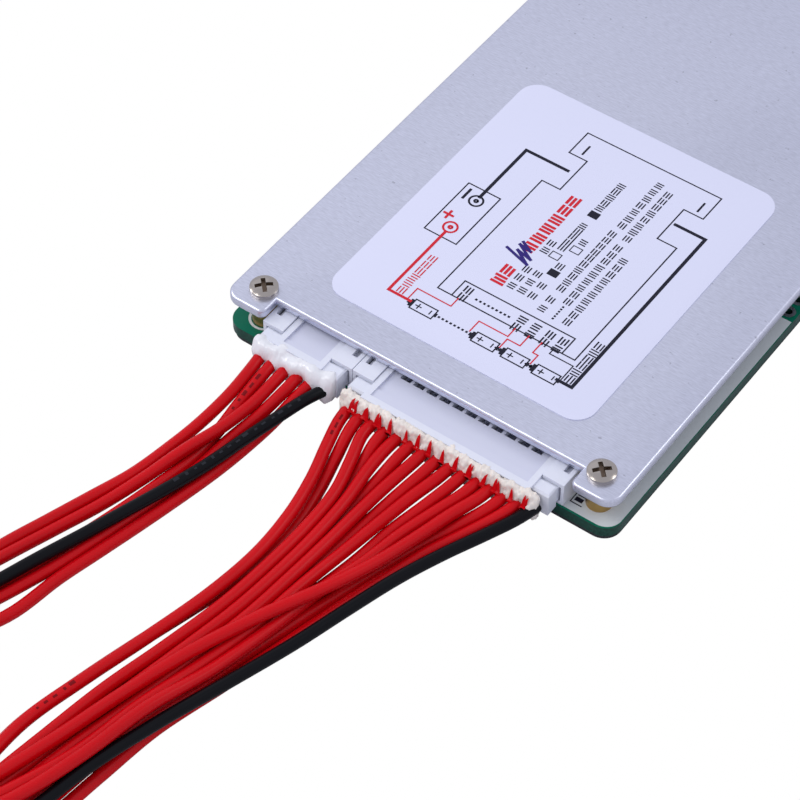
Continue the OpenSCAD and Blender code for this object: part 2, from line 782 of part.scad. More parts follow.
// a point on the smooth curve through the points p, between points i and i + 1
function on_curve(p, i, t) =
  let (a = p[max(i - 1, 0)], b = p[i], c = p[i + 1], d = p[min(i + 2, len(p) - 1)])
  0.5 * (2 * b + (c - a) * t + (2 * a - 5 * b + 4 * c - d) * t * t + (3 * b - a - 3 * c + d) * t * t * t);

// centres of the rings along the curve
function ring_centres(p) = [
  for (i = [0:len(p) - 2])
    let (n = max(1, round(norm(p[i + 1] - p[i]) / ring_gap)))
      for (k = [0:n - 1]) on_curve(p, i, k / n),
  p[len(p) - 1]];

// a lead's direction at ring i; both ends are square to Y, against the glue and the coil
function ring_way(c, i) =
  i == 0 || i == len(c) - 1 ? [0, -1, 0] : (c[i + 1] - c[i - 1]) / norm(c[i + 1] - c[i - 1]);

function ring(centre, way) =
  let (side = cross(way, [0, 0, 1]) / norm(cross(way, [0, 0, 1])), up = cross(side, way))
    [for (k = [0:wire_sides - 1])
      let (a = 360 * (k + 0.5) / wire_sides)
        centre + wire_d / 2 * (cos(a) * side + sin(a) * up)];

// a tube along the smooth curve through the points p
module lead(p) {
  c = ring_centres(p);
  n = len(c);
  points = [for (i = [0:n - 1]) each ring(c[i], ring_way(c, i))];
  sides = [for (i = [0:n - 2], k = [0:wire_sides - 1])
      let (a = i * wire_sides + k, b = i * wire_sides + (k + 1) % wire_sides)
        [a, a + wire_sides, b + wire_sides, b]];
  first = [for (k = [0:wire_sides - 1]) k];
  last = [for (k = [wire_sides - 1:-1:0]) (n - 1) * wire_sides + k];
  polyhedron(points, concat(sides, [first, last]), convexity = 6);
}

// a lead's points: at the glue in line with its contact, then at the stations
function route(ways, x, i, y, xs, zs) = concat(
  [[x + (i - (ways - 1) / 2) * pitch, glue_y, board_z + exit_z]],
  [for (k = [0:len(y) - 1]) [x + xs[i][k], glue_y - y[k], zs[i][k]]]);

module small_wire(i) {
  color(i == small_ways - 1 ? "#1b1c20" : "#c8141f")
    lead(route(small_ways, small_mid, i, small_y, small_route_x, small_route_z));
}

module large_wire(i) {
  color(i == large_ways - 1 ? "#1b1c20" : "#c8141f")
    lead(route(large_ways, large_mid, i, large_y, large_route_x, large_route_z));
}

// a coil's outer shape: a ring and the straight stretch that runs into its side
module coil(at, r, w, h, side, entry_y, lead_h) {
  color("#b0121c")
    translate([at[0], at[1], 0])
      difference() {
        union() {
          rotate_extrude($fn = 96) translate([r - w / 2, 0]) square([w, h]);
          translate([side * r - w / 2, 0, 0]) cube([w, entry_y - at[1], lead_h]);
        }
        rotate([0, 0, side * 160])
          translate([-side * r, 0, -over])
            block([w + 2 * tie_t + over, tie_w + 2 * fit_clear, over + tie_t + fit_clear]);
      }
}

// a band round a coil's turns, under the coil in its notch
module coil_tie(at, r, w, h, side) {
  color("#f0f0f0")
    translate([at[0], at[1], 0])
      rotate([0, 0, side * 160])
        translate([-side * r, 0, 0])
          difference() {
            block([w + 2 * tie_t + 2 * fit_clear, tie_w, h + 2 * tie_t + fit_clear - tie_t]);
            translate([0, 0, tie_t]) block([w + 2 * fit_clear, tie_w + over, h - tie_t + fit_clear]);
          }
}

module small_coil() {
  coil(small_coil_at, small_coil_r, small_coil_w, small_coil_h, 1,
    glue_y - small_y[len(small_y) - 1], small_lead_h);
}

module large_coil() {
  coil(large_coil_at, large_coil_r, large_coil_w, large_coil_h, -1,
    glue_y - large_y[len(large_y) - 1], large_lead_h);
}

module small_coil_tie() {
  coil_tie(small_coil_at, small_coil_r, small_coil_w, small_coil_h, 1);
}

module large_coil_tie() {
  coil_tie(large_coil_at, large_coil_r, large_coil_w, large_coil_h, -1);
}

insulating_sheet();
circuit_board();
cover_plate();
wiring_label();
cover_screws();
standoffs();
small_header();
large_header();
small_plug();
large_plug();
header_pins();
crimp_contacts();
small_plug_glue();
large_plug_glue();
power_transistors();
transistor_tabs();
thermal_pad();
shunt_resistors();
balance_resistors();
signal_transistors();
monitor_chips();
chip_leads();
filter_capacitors();
zener_diodes();
bus_bars();
cable_pads();
thermistor();
small_wire(0);  // small_wire_1
small_wire(1);  // small_wire_2
small_wire(2);  // small_wire_3
small_wire(3);  // small_wire_4
small_wire(4);  // small_wire_5
small_wire(5);  // small_wire_6
large_wire(0);  // large_wire_1
large_wire(1);  // large_wire_2
large_wire(2);  // large_wire_3
large_wire(3);  // large_wire_4
large_wire(4);  // large_wire_5
large_wire(5);  // large_wire_6
large_wire(6);  // large_wire_7
large_wire(7);  // large_wire_8
large_wire(8);  // large_wire_9
large_wire(9);  // large_wire_10
large_wire(10);  // large_wire_11
large_wire(11);  // large_wire_12
large_wire(12);  // large_wire_13
large_wire(13);  // large_wire_14
large_wire(14);  // large_wire_15
small_coil();
large_coil();
small_coil_tie();
large_coil_tie();
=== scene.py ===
# %% [markdown]
# # Battery management board
#
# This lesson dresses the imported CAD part. The frame holds every piece at its real place, so each
# step either gives a CAD node a finish or replaces it with a finer mesh of the same size.
# Blender works in metres, +Z is up, and the plugs face -Y. Numbers in millimetres are multiplied
# by MM where they meet Blender.

# %% Load the frame
import math
import random

import bmesh
import bpy
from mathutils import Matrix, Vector, noise


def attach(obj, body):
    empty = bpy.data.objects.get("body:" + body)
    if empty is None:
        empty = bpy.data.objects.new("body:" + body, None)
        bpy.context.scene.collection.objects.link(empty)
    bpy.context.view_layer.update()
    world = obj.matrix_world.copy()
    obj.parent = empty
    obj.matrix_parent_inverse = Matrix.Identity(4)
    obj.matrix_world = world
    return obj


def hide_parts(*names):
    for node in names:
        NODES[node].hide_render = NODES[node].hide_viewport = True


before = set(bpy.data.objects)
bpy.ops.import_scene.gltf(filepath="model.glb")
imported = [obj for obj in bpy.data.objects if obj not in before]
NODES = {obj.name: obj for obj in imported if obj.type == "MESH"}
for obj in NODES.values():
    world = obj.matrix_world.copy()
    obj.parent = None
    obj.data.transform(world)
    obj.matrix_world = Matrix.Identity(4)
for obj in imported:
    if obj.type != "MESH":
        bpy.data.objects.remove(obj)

MM = 0.001
scene = bpy.context.scene


def save_size():
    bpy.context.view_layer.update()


save_size()

# %% [markdown]
# ## Camera
#
# The camera stands in front of the plugs, to their right, and looks down at about 50 degrees.
# A long lens keeps the perspective mild, as it is when a small board is seen from some way off.

# %% Camera
AZIMUTH, ELEVATION = math.radians(35.935), math.radians(49.613)
CAMERA_PLACE = (0.13557, -0.2481, 0.28112)
LENS, SENSOR = 129.55, 36

back = Vector((math.sin(AZIMUTH) * math.cos(ELEVATION),
    -math.cos(AZIMUTH) * math.cos(ELEVATION), math.sin(ELEVATION)))
camera_data = bpy.data.cameras.new("camera")
camera_data.sensor_width = SENSOR
camera_data.lens = LENS
camera_data.clip_start = 0.01
camera = bpy.data.objects.new("camera", camera_data)
camera.location = Vector(CAMERA_PLACE)
camera.rotation_mode = "QUATERNION"
camera.rotation_quaternion = (-back).to_track_quat("-Z", "Y")
scene.collection.objects.link(camera)
scene.camera = camera
print("camera", [round(v, 4) for v in camera.location])

# %% [markdown]
# ## Sense leads
#
# Twenty-one limp leads bring in the cells. Each one leaves the glue in line with its contact, sinks
# to the table and crosses its neighbours in the bundle. A simulation could drop them, but known
# points are quicker and give the same result each time, so the rows below hold the points that the
# CAD tubes follow. Beyond the last point a lead runs straight into its coil, and turns there until
# its whole length is used.

# %% Sizes of the leads
WIRE_D, PITCH, LEAD_LENGTH = 1.65 * MM, 2 * MM, 0.3
SMALL_MID, LARGE_MID = -0.01665, 0.00665
GLUE_Y, EXIT_Z = -0.0615, 0.0038
COIL_TOP, COIL_LIFT = 0.0151, 0.6 * MM
IN_GLUE = 0.4 * MM
POINT_GAP, RUN_POINTS, TURN_POINTS = 0.0011, 10, 72
print("leads of", LEAD_LENGTH, "m")

# %% Routes of the leads, in millimetres: Y of the points, then X and Z for each lead
SMALL_Y = [-64.5, -68.5, -73.5, -78.5, -84.5, -90.5, -96.5, -102.5, -110.5, -118.5, -128.5]
SMALL_X = [
    [-4.75, -4.95, -5.65, -6.55, -7.65, -9.55, -11.5, -13.45, -15.4, -16.85, -17.05],
    [-2.95, -3.15, -3.15, -3.2, -4.1, -5.3, -6.7, -8.2, -11.05, -14.25, -15.35],
    [-1.05, -1.35, -2.35, -3.95, -5.75, -7.65, -9.7, -11.65, -13.85, -16.2, -17.05],
    [0.9, 0.15, -1.05, -1.5, -2.35, -3.6, -4.95, -6.45, -9.15, -12.45, -13.65],
    [2.5, 2, 1.25, 0.45, -0.65, -1.9, -3.25, -4.6, -5.9, -9.4, -13.65],
    [4.05, 2.75, 1.25, -0.05, -1.75, -3.65, -5.65, -7.7, -10.3, -12.95, -15.35],
]
SMALL_Z = [
    [3.55, 2.55, 1.5, 0.95, 0.85, 0.85, 0.85, 0.85, 0.85, 0.9, 0.85],
    [3.55, 2.35, 1.05, 0.85, 0.85, 0.85, 0.85, 0.85, 0.85, 0.85, 0.85],
    [3.6, 3.1, 2.75, 2.4, 1.45, 0.9, 0.85, 1, 1.65, 2.5, 2.55],
    [3.55, 2.4, 1.35, 0.9, 0.85, 0.85, 0.9, 0.9, 0.85, 0.85, 0.85],
    [3.05, 1.9, 1.15, 0.85, 0.85, 0.85, 0.85, 0.85, 0.95, 1.85, 2.55],
    [4, 3.5, 2.95, 2.55, 2.5, 2.55, 2.5, 2.5, 2.4, 2.5, 2.55],
]
LARGE_Y = [-64.5, -68.5, -73.5, -79.5, -86.5, -94.5, -103.5, -112.5, -121.5, -130.5, -139.5, -150.5]
LARGE_X = [
    [-13.75, -12.7, -11.25, -10.15, -9.85, -10.75, -12.7, -14.9, -16.75, -16.85, -17.65, -18.05],
    [-11.9, -11.2, -10.25, -9.35, -9.55, -11.35, -13.8, -16, -17.75, -17.75, -18.3, -18.05],
    [-10.05, -8.85, -7.7, -7.45, -7.7, -8.45, -10.15, -12.1, -13.45, -14.9, -16.5, -16.35],
    [-8.15, -7.7, -7.45, -7.3, -7.55, -8.45, -10.35, -12.3, -13.55, -13.9, -14.7, -14.65],
    [-6.35, -6.35, -5.9, -5.75, -6, -6.75, -8.35, -10.1, -11.75, -13.3, -15.65, -16.35],
    [-4.35, -4.9, -5.5, -5.55, -5.85, -6.7, -8.65, -10.6, -11.9, -12.2, -13.05, -12.95],
    [-2.35, -3.1, -3.7, -4, -4.35, -5.05, -6.65, -8.3, -10.05, -11.6, -13.95, -14.65],
    [-0.35, -1.4, -2.5, -3.35, -4.1, -5, -6.95, -8.9, -10.2, -10.5, -11.35, -11.25],
    [1.55, 0.35, -0.75, -1.75, -2.6, -3.35, -5, -6.9, -8.45, -11.15, -14.85, -16.35],
    [3.55, 2.25, 0.65, -0.25, -1.6, -3.25, -5.25, -7.1, -8.7, -9.8, -11.35, -12.95],
    [5.65, 4.15, 2.45, 1.25, -0.55, -1.65, -3.3, -5.5, -7.15, -9.5, -13.25, -14.65],
    [7.5, 6.15, 4.65, 2.95, 0.45, -3.05, -6.6, -9.25, -11.3, -13.8, -16.8, -18.05],
    [9.35, 7.15, 4.55, 2.55, 0.55, -1.5, -3.65, -5.9, -7, -8.45, -11, -12.95],
    [11.25, 9.1, 6.35, 4.25, 2.25, 0.3, -2.1, -4.5, -5.65, -6.75, -8.9, -11.25],
    [13.05, 11.15, 8.65, 6.25, 4.15, 1.95, -0.95, -3.75, -6.1, -7.8, -9.65, -11.25],
]
LARGE_Z = [
    [3.6, 3.3, 3, 2.8, 2.65, 2.6, 2.55, 2.55, 2.55, 2.55, 2.5, 2.55],
    [3.5, 2.3, 1.2, 0.85, 0.85, 0.85, 0.85, 0.85, 0.85, 0.85, 0.85, 0.85],
    [3.65, 3.45, 2.85, 2.55, 2.55, 2.55, 2.55, 2.6, 2.6, 2.25, 1.1, 0.85],
    [3.35, 2.05, 1.1, 0.85, 0.85, 0.85, 0.85, 0.85, 0.85, 0.85, 0.85, 0.85],
    [3.6, 3.2, 2.7, 2.55, 2.55, 2.55, 2.55, 2.55, 2.5, 2.75, 2.7, 2.55],
    [3.5, 2.15, 0.95, 0.85, 0.85, 0.85, 0.85, 0.85, 0.85, 0.85, 0.85, 0.85],
    [3.6, 2.95, 2.45, 2.4, 2.55, 2.55, 2.5, 2.5, 2.75, 2.6, 2.55, 2.55],
    [3.5, 2.35, 1.2, 0.85, 0.85, 0.85, 0.85, 0.9, 0.85, 0.85, 0.85, 0.85],
    [3.55, 2.85, 2.2, 1.95, 2.3, 2.55, 2.85, 3.45, 3.6, 4.25, 4.3, 4.25],
    [3.5, 2.4, 1.3, 0.9, 0.85, 0.85, 0.9, 0.9, 1.6, 2.65, 4.25, 4.25],
    [3.6, 2.9, 2.25, 2.05, 2.2, 2.65, 3.25, 4.55, 4.7, 4.85, 4.9, 4.25],
    [3.8, 3.6, 3.2, 3.3, 3.85, 4.25, 4.2, 4.05, 4.3, 4.35, 4.15, 4.25],
    [3.4, 2.15, 1.15, 0.85, 0.85, 0.95, 1.5, 2.05, 1.95, 1.45, 2.55, 2.55],
    [3.5, 2.5, 1.55, 1.1, 0.85, 0.85, 0.85, 0.85, 0.85, 0.95, 1.95, 2.55],
    [3.7, 3.4, 3, 2.8, 2.7, 2.7, 2.75, 3.1, 3.4, 3.35, 4.35, 4.25],
]
print("routes", len(SMALL_X) + len(LARGE_X))


# %% Centreline of a lead
def on_curve(p, i, t):
    """A point on the smooth curve through the points p, between points i and i + 1."""
    a, b, c, d = p[max(i - 1, 0)], p[i], p[i + 1], p[min(i + 2, len(p) - 1)]
    return 0.5 * (2 * b + (c - a) * t + (2 * a - 5 * b + 4 * c - d) * t * t
        + (3 * b - a - 3 * c + d) * t ** 3)


def routed_points(middle, pin_x, ys, xs, zs):
    """The centreline from the glue to the last point of the route."""
    knots = [Vector((middle + pin_x, GLUE_Y, EXIT_Z))]
    knots += [Vector((middle + x * MM, y * MM, z * MM)) for x, y, z in zip(xs, ys, zs)]
    points = [knots[0] + Vector((0, IN_GLUE, 0))]
    for i in range(len(knots) - 1):
        steps = max(4, round((knots[i + 1] - knots[i]).length / POINT_GAP))
        points += [on_curve(knots, i, k / steps) for k in range(steps)]
    points.append(knots[-1])
    for point in points:
        point.z = max(point.z, WIRE_D / 2)
    return points


def lead_points(middle, pin_x, ys, xs, zs, centre, side, rise):
    """The whole centreline of a lead: the route, the straight run into the coil and the turns."""
    points = routed_points(middle, pin_x, ys, xs, zs)
    start = points[-1].copy()
    run = start.y - centre[1]
    for k in range(1, RUN_POINTS + 1):
        t = k / RUN_POINTS
        points.append(Vector((start.x, start.y - run * t,
            start.z + COIL_LIFT * t * t * (3 - 2 * t))))
    used = sum((b - a).length for a, b in zip(points, points[1:])) - IN_GLUE
    radius = abs(start.x - centre[0])
    turns = (LEAD_LENGTH - used) / math.hypot(2 * math.pi * radius, rise)
    rise = min(rise, (COIL_TOP - WIRE_D / 2 - start.z - COIL_LIFT) / turns)
    steps = round(turns * TURN_POINTS)
    for k in range(1, steps + 1):
        turn = turns * k / steps
        angle = 2 * math.pi * turn
        points.append(Vector((centre[0] + side * radius * math.cos(angle),
            centre[1] - radius * math.sin(angle), start.z + COIL_LIFT + rise * turn)))
    return points


# %% [markdown]
# A curve with a bevel would draw a lead in one step. A skin of rings round the centreline gives the
# same tube as a real mesh, and its box is exactly as wide as the tube.

# %% Tube along a centreline
def skin(bm, rings):
    """Quads from ring to ring, and a cap at both ends."""
    around = len(rings[0])
    for a, b in zip(rings, rings[1:]):
        for k in range(around):
            bm.faces.new((a[k], a[(k + 1) % around], b[(k + 1) % around], b[k]))
    bm.faces.new(list(reversed(rings[0])))
    bm.faces.new(rings[-1])
    bmesh.ops.recalc_face_normals(bm, faces=bm.faces)


def smooth_object(name, bm, sharp):
    """Turns a bmesh into an object that is smooth, apart from edges sharper than an angle."""
    mesh = bpy.data.meshes.new(name)
    bm.to_mesh(mesh)
    bm.free()
    mesh.polygons.foreach_set("use_smooth", [True] * len(mesh.polygons))
    mesh.set_sharp_from_angle(angle=math.radians(sharp))
    made = bpy.data.objects.new(name, mesh)
    scene.collection.objects.link(made)
    return made


def tube(name, points, diameter, around=14):
    """A round tube of rings along the points, closed at both ends."""
    bm = bmesh.new()
    turns = [2 * math.pi * k / around for k in range(around)]
    rings, side = [], Vector((1, 0, 0))
    for i, point in enumerate(points):
        along = (points[min(i + 1, len(points) - 1)] - points[max(i - 1, 0)]).normalized()
        side = (side - along * side.dot(along)).normalized()
        up = along.cross(side)
        rings.append([bm.verts.new(point + (side * math.cos(t) + up * math.sin(t)) * diameter / 2)
            for t in turns])
    skin(bm, rings)
    return smooth_object(name, bm, sharp=60)


# %% Make the leads
SMALL_COIL, LARGE_COIL = (-0.047, -0.142), (0.01, -0.169)
SMALL_RISE, LARGE_RISE = 3.4 * MM, 5.1 * MM
BLACK_LEADS = ("small_wire_6", "large_wire_15")

leads = []
for plug, middle, ys, xs, zs, centre, side, rise in (
        ("small", SMALL_MID, SMALL_Y, SMALL_X, SMALL_Z, SMALL_COIL, 1, SMALL_RISE),
        ("large", LARGE_MID, LARGE_Y, LARGE_X, LARGE_Z, LARGE_COIL, -1, LARGE_RISE)):
    for k in range(len(xs)):
        pin_x = PITCH * (k - (len(xs) - 1) / 2)
        points = lead_points(middle, pin_x, ys, xs[k], zs[k], centre, side, rise)
        leads.append(("%s_wire_%d" % (plug, k + 1), points, plug + "_coil" if k == 0 else None))
lead_objects = {}
for node, points, coil in leads:
    lead = tube("lead_" + node, points, WIRE_D)
    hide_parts(node, *([coil] if coil else []))
    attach(lead, "root")
    lead_objects[node] = lead
print(len(leads), "leads")

# %% [markdown]
# ## Finishes
#
# No surface in this product is perfectly even. Each finish is a Principled surface with noise in
# object coordinates: a slow change of colour, a change of roughness and a fine bump. Painting
# each piece could do the same, but noise needs no unwrapping and has no seams. A few helpers add
# the nodes, because every finish uses the same ones.

# %% Node helpers
def feed(links, slot, value):
    """Gives an input a link from a socket, or else a plain value."""
    if isinstance(value, bpy.types.NodeSocket):
        links.new(value, slot)
    else:
        slot.default_value = value


def math_node(nodes, links, operation, *values):
    """Arithmetic on sockets or numbers."""
    made = nodes.new("ShaderNodeMath")
    made.operation = operation
    for slot, value in zip(made.inputs, values):
        feed(links, slot, value)
    return made.outputs[0]


def range_node(nodes, links, value, start=0.0, end=1.0, low=0.0, high=1.0):
    """Brings a value from the range start to end into the range low to high."""
    made = nodes.new("ShaderNodeMapRange")
    for key, number in (("Value", value), ("From Min", start), ("From Max", end),
            ("To Min", low), ("To Max", high)):
        feed(links, made.inputs[key], number)
    return made.outputs["Result"]


def mix_node(nodes, links, share, low, high):
    """A colour that is low where the share is 0, and high where it is 1."""
    made = nodes.new("ShaderNodeMix")
    made.data_type = "RGBA"
    for slot, value in ((0, share), (6, low), (7, high)):
        feed(links, made.inputs[slot], value)
    return made.outputs[2]


# %% Noise and bump helpers
def noise_node(nodes, links, scale, detail=2.0, stretch=None):
    """Noise on object coordinates, drawn out where a stretch is given."""
    place = nodes.new("ShaderNodeTexCoord").outputs["Object"]
    if stretch:
        mapping = nodes.new("ShaderNodeMapping")
        mapping.inputs["Scale"].default_value = stretch
        links.new(place, mapping.inputs["Vector"])
        place = mapping.outputs["Vector"]
    made = nodes.new("ShaderNodeTexNoise")
    made.inputs["Scale"].default_value = scale
    made.inputs["Detail"].default_value = detail
    links.new(place, made.inputs["Vector"])
    return made.outputs["Fac"]


def relief(nodes, links, shader, height, strength, distance):
    """A bump on the surface, from a height."""
    made = nodes.new("ShaderNodeBump")
    made.inputs["Strength"].default_value = strength
    made.inputs["Distance"].default_value = distance
    links.new(height, made.inputs["Height"])
    links.new(made.outputs["Normal"], shader.inputs["Normal"])


# %% Finish helper
def finish(name, color, roughness, metallic=0.0, grain=900.0, bump=0.15, vary=0.06,
        rough_vary=0.08, **sockets):
    """A Principled material with a noise that varies its colour, roughness and height."""
    made = bpy.data.materials.new(name)
    made.use_nodes = True
    nodes, links = made.node_tree.nodes, made.node_tree.links
    shader = nodes["Principled BSDF"]
    shader.inputs["Base Color"].default_value = (*color, 1)
    shader.inputs["Roughness"].default_value = roughness
    shader.inputs["Metallic"].default_value = metallic
    for socket, value in sockets.items():
        shader.inputs[socket.replace("_", " ")].default_value = value
    fine = noise_node(nodes, links, grain, detail=4.0)
    slow = noise_node(nodes, links, grain / 12)
    darker = (*[c * (1 - vary) for c in color], 1)
    paler = (*[min(1, c * (1 + vary)) for c in color], 1)
    links.new(mix_node(nodes, links, slow, darker, paler), shader.inputs["Base Color"])
    rough = range_node(nodes, links, fine, low=max(0.02, roughness - rough_vary),
        high=min(1, roughness + rough_vary))
    links.new(rough, shader.inputs["Roughness"])
    if bump:
        relief(nodes, links, shader, fine, bump, 0.05 * MM)
    return made


def opened(made):
    """A finish's nodes, links and shader, and the socket that gives its colour."""
    nodes, links = made.node_tree.nodes, made.node_tree.links
    shader = nodes["Principled BSDF"]
    return nodes, links, shader, shader.inputs["Base Color"].links[0].from_socket


# %% Finishes of the parts
plastic = finish("nylon", (0.74, 0.76, 0.84), 0.42, grain=1500, bump=0.12, vary=0.03,
    Subsurface_Weight=0.15, Subsurface_Radius=(0.4 * MM, 0.4 * MM, 0.45 * MM))
red = finish("red_silicone", (0.575, 0.001, 0.005), 0.32, grain=500, bump=0.2, vary=0.16,
    Specular_IOR_Level=0.18)
black = finish("black_silicone", (0.003, 0.0035, 0.005), 0.3, grain=700, bump=0.25, vary=0.15,
    Specular_IOR_Level=0.13)
glue = finish("glue", (0.86, 0.79, 0.715), 0.4, grain=1400, bump=0.5, vary=0.1,
    Subsurface_Weight=0.12, Subsurface_Radius=(0.6 * MM, 0.5 * MM, 0.4 * MM))
clear_glue = finish("glossy_glue", (0.82, 0.825, 0.85), 0.12, grain=500, bump=0.25, vary=0.03,
    Subsurface_Weight=0.08, Subsurface_Radius=(0.6 * MM, 0.6 * MM, 0.6 * MM))
nickel = finish("nickel", (0.44, 0.40, 0.36), 0.2, metallic=1.0, grain=1500, bump=0.2, vary=0.15)
brass = finish("brass", (0.48, 0.31, 0.11), 0.34, metallic=1.0, grain=1400, bump=0.35, vary=0.2)
tinned = finish("tinned", (0.62, 0.63, 0.65), 0.28, metallic=1.0, grain=700, bump=0.3)
package = finish("package", (0.02, 0.021, 0.023), 0.55, grain=2500, bump=0.2)
ceramic = finish("capacitor", (0.42, 0.28, 0.14), 0.5, grain=1500, bump=0.1)
gap_pad = finish("gap_pad", (0.24, 0.33, 0.42), 0.8, grain=900, bump=0.3)
sheet_black = finish("fibre_sheet", (0.02, 0.022, 0.026), 0.6, grain=1200, bump=0.2)
label_paper = finish("label", (0.70, 0.715, 0.87), 0.34, grain=600, bump=0.06, vary=0.015,
    Specular_IOR_Level=0.3)
silkscreen = finish("silkscreen", (0.62, 0.66, 0.66), 0.5, grain=900, bump=0.1, vary=0.04)
ink_black = finish("black_ink", (0.010, 0.010, 0.022), 0.5, bump=0, Specular_IOR_Level=0.2)
ink_red = finish("red_ink", (0.62, 0.015, 0.03), 0.5, bump=0, Specular_IOR_Level=0.2)
ink_blue = finish("blue_ink", (0.02, 0.008, 0.16), 0.4, bump=0, Specular_IOR_Level=0.3)
tie_nylon = finish("tie", (0.8, 0.8, 0.78), 0.4, grain=900, bump=0.1)
print(len(bpy.data.materials), "materials")

# %% [markdown]
# ## Brushed plate
#
# The plate was brushed across its width, and handling left a few pits. Scratches could be cut into
# the mesh, but thousands of them would be too heavy. Noise that is drawn out along X makes them in
# the finish: it changes both the tone and the height, and the deepest points of another noise are
# the pits.

# %% Brushed finish of the plate
def brushed_finish():
    """Aluminium with fine brush lines along X, a few pits, and a slow change of tone."""
    made = finish("brushed_aluminium", (0.65, 0.668, 0.775), 0.34, metallic=1.0, grain=260,
        bump=0, vary=0.04, rough_vary=0.06)
    nodes, links, shader, surface = opened(made)
    lines = noise_node(nodes, links, 7200, stretch=(0.13, 1, 1))
    clear_of_pits = range_node(nodes, links, noise_node(nodes, links, 1300), start=0.23, end=0.29)
    tone = range_node(nodes, links, lines, start=0.3, end=0.7, low=0.91, high=1.09)
    darker = range_node(nodes, links, clear_of_pits, low=0.72)
    shaded = nodes.new("ShaderNodeVectorMath")
    shaded.operation = "SCALE"
    links.new(surface, shaded.inputs[0])
    links.new(math_node(nodes, links, "MULTIPLY", tone, darker), shaded.inputs["Scale"])
    links.new(shaded.outputs["Vector"], shader.inputs["Base Color"])
    height = math_node(nodes, links, "ADD", lines, clear_of_pits)
    relief(nodes, links, shader, height, 0.35, 0.02 * MM)
    return made


aluminium = brushed_finish()
print("plate finish", aluminium.name)

# %% [markdown]
# ## Window in the plugs
#
# The top wall of each plug is thinner over its contacts. The nylon looks greyer there, between the
# two ribs and behind the lip. A see-through wall would need real light inside the plug, so a tint
# inside a box of object coordinates stands for it.

# %% Moulded finish with a thin window
WINDOW_TINT = (0.645, 0.66, 0.775, 1)
WINDOW_REACH, WINDOW_Z, WINDOW_RISE = 4 * MM, 5.7 * MM, 0.15 * MM


def window_finish(name, middle, half, front):
    """Nylon that looks greyer inside a box: within half of the middle, and behind the front."""
    made = plastic.copy()
    made.name = name
    nodes, links, shader, surface = opened(made)
    split = nodes.new("ShaderNodeSeparateXYZ")
    links.new(nodes.new("ShaderNodeTexCoord").outputs["Object"], split.inputs["Vector"])
    inside = None
    for axis, centre, reach in (("X", middle, half), ("Y", front + WINDOW_REACH, WINDOW_REACH),
            ("Z", WINDOW_Z, WINDOW_RISE)):
        near = math_node(nodes, links, "COMPARE", split.outputs[axis], centre, reach)
        inside = math_node(nodes, links, "MULTIPLY", inside, near) if inside else near
    links.new(mix_node(nodes, links, inside, surface, WINDOW_TINT), shader.inputs["Base Color"])
    return made


small_window = window_finish("small_nylon_window", SMALL_MID, 2.95 * MM, -59.4 * MM)
large_window = window_finish("large_nylon_window", LARGE_MID, 11.95 * MM, -60.1 * MM)
print("windows", small_window.name, large_window.name)

# %% [markdown]
# ## Circuit board
#
# The board is green solder mask above and below, and rougher laminate on its cut edges. Two
# materials could be given to the faces by hand. One finish that reads the direction of the surface
# does it without touching the CAD mesh.

# %% Circuit board finish
LAMINATE_DARK, LAMINATE_PALE = (0.0015, 0.012, 0.008, 1), (0.014, 0.095, 0.064, 1)


def board_finish():
    """Solder mask on the flat faces and speckled laminate on the upright ones."""
    made = finish("solder_mask", (0.003, 0.15, 0.085), 0.3, grain=600, bump=0.12, vary=0.12,
        Specular_IOR_Level=0.16)
    nodes, links, shader, surface = opened(made)
    split = nodes.new("ShaderNodeSeparateXYZ")
    links.new(nodes.new("ShaderNodeNewGeometry").outputs["Normal"], split.inputs["Vector"])
    flatness = math_node(nodes, links, "ABSOLUTE", split.outputs["Z"])
    edge = math_node(nodes, links, "LESS_THAN", flatness, 0.5)
    laminate = mix_node(nodes, links, noise_node(nodes, links, 2600), LAMINATE_DARK, LAMINATE_PALE)
    links.new(mix_node(nodes, links, edge, surface, laminate), shader.inputs["Base Color"])
    return made


board_green = board_finish()
for node, lead in lead_objects.items():
    lead.data.materials.append(black if node in BLACK_LEADS else red)
print("board finish", board_green.name)

# %% [markdown]
# ## CAD nodes with a finish
#
# Most nodes keep their CAD shape. The moulded pieces, the screws and the ties have slightly rounded
# edges, so that they catch the light. The CAD mesh itself is never changed, so a Bevel modifier
# rounds them, after a Weld that joins its loose triangles.

# %% Dress the CAD nodes
WELD_GAP, BEVEL_ANGLE = 0.0005 * MM, math.radians(40)


def dress(node, material, bevel=0.0):
    """Gives a CAD node a finish, and rounds its edges with modifiers."""
    piece = NODES[node]
    piece.data.materials.clear()
    piece.data.materials.append(material)
    if bevel:
        weld = piece.modifiers.new("weld", "WELD")
        weld.merge_threshold = WELD_GAP
        rounded = piece.modifiers.new("bevel", "BEVEL")
        rounded.width = bevel
        rounded.segments = 2
        rounded.limit_method = "ANGLE"
        rounded.angle_limit = BEVEL_ANGLE
        rounded.harden_normals = False


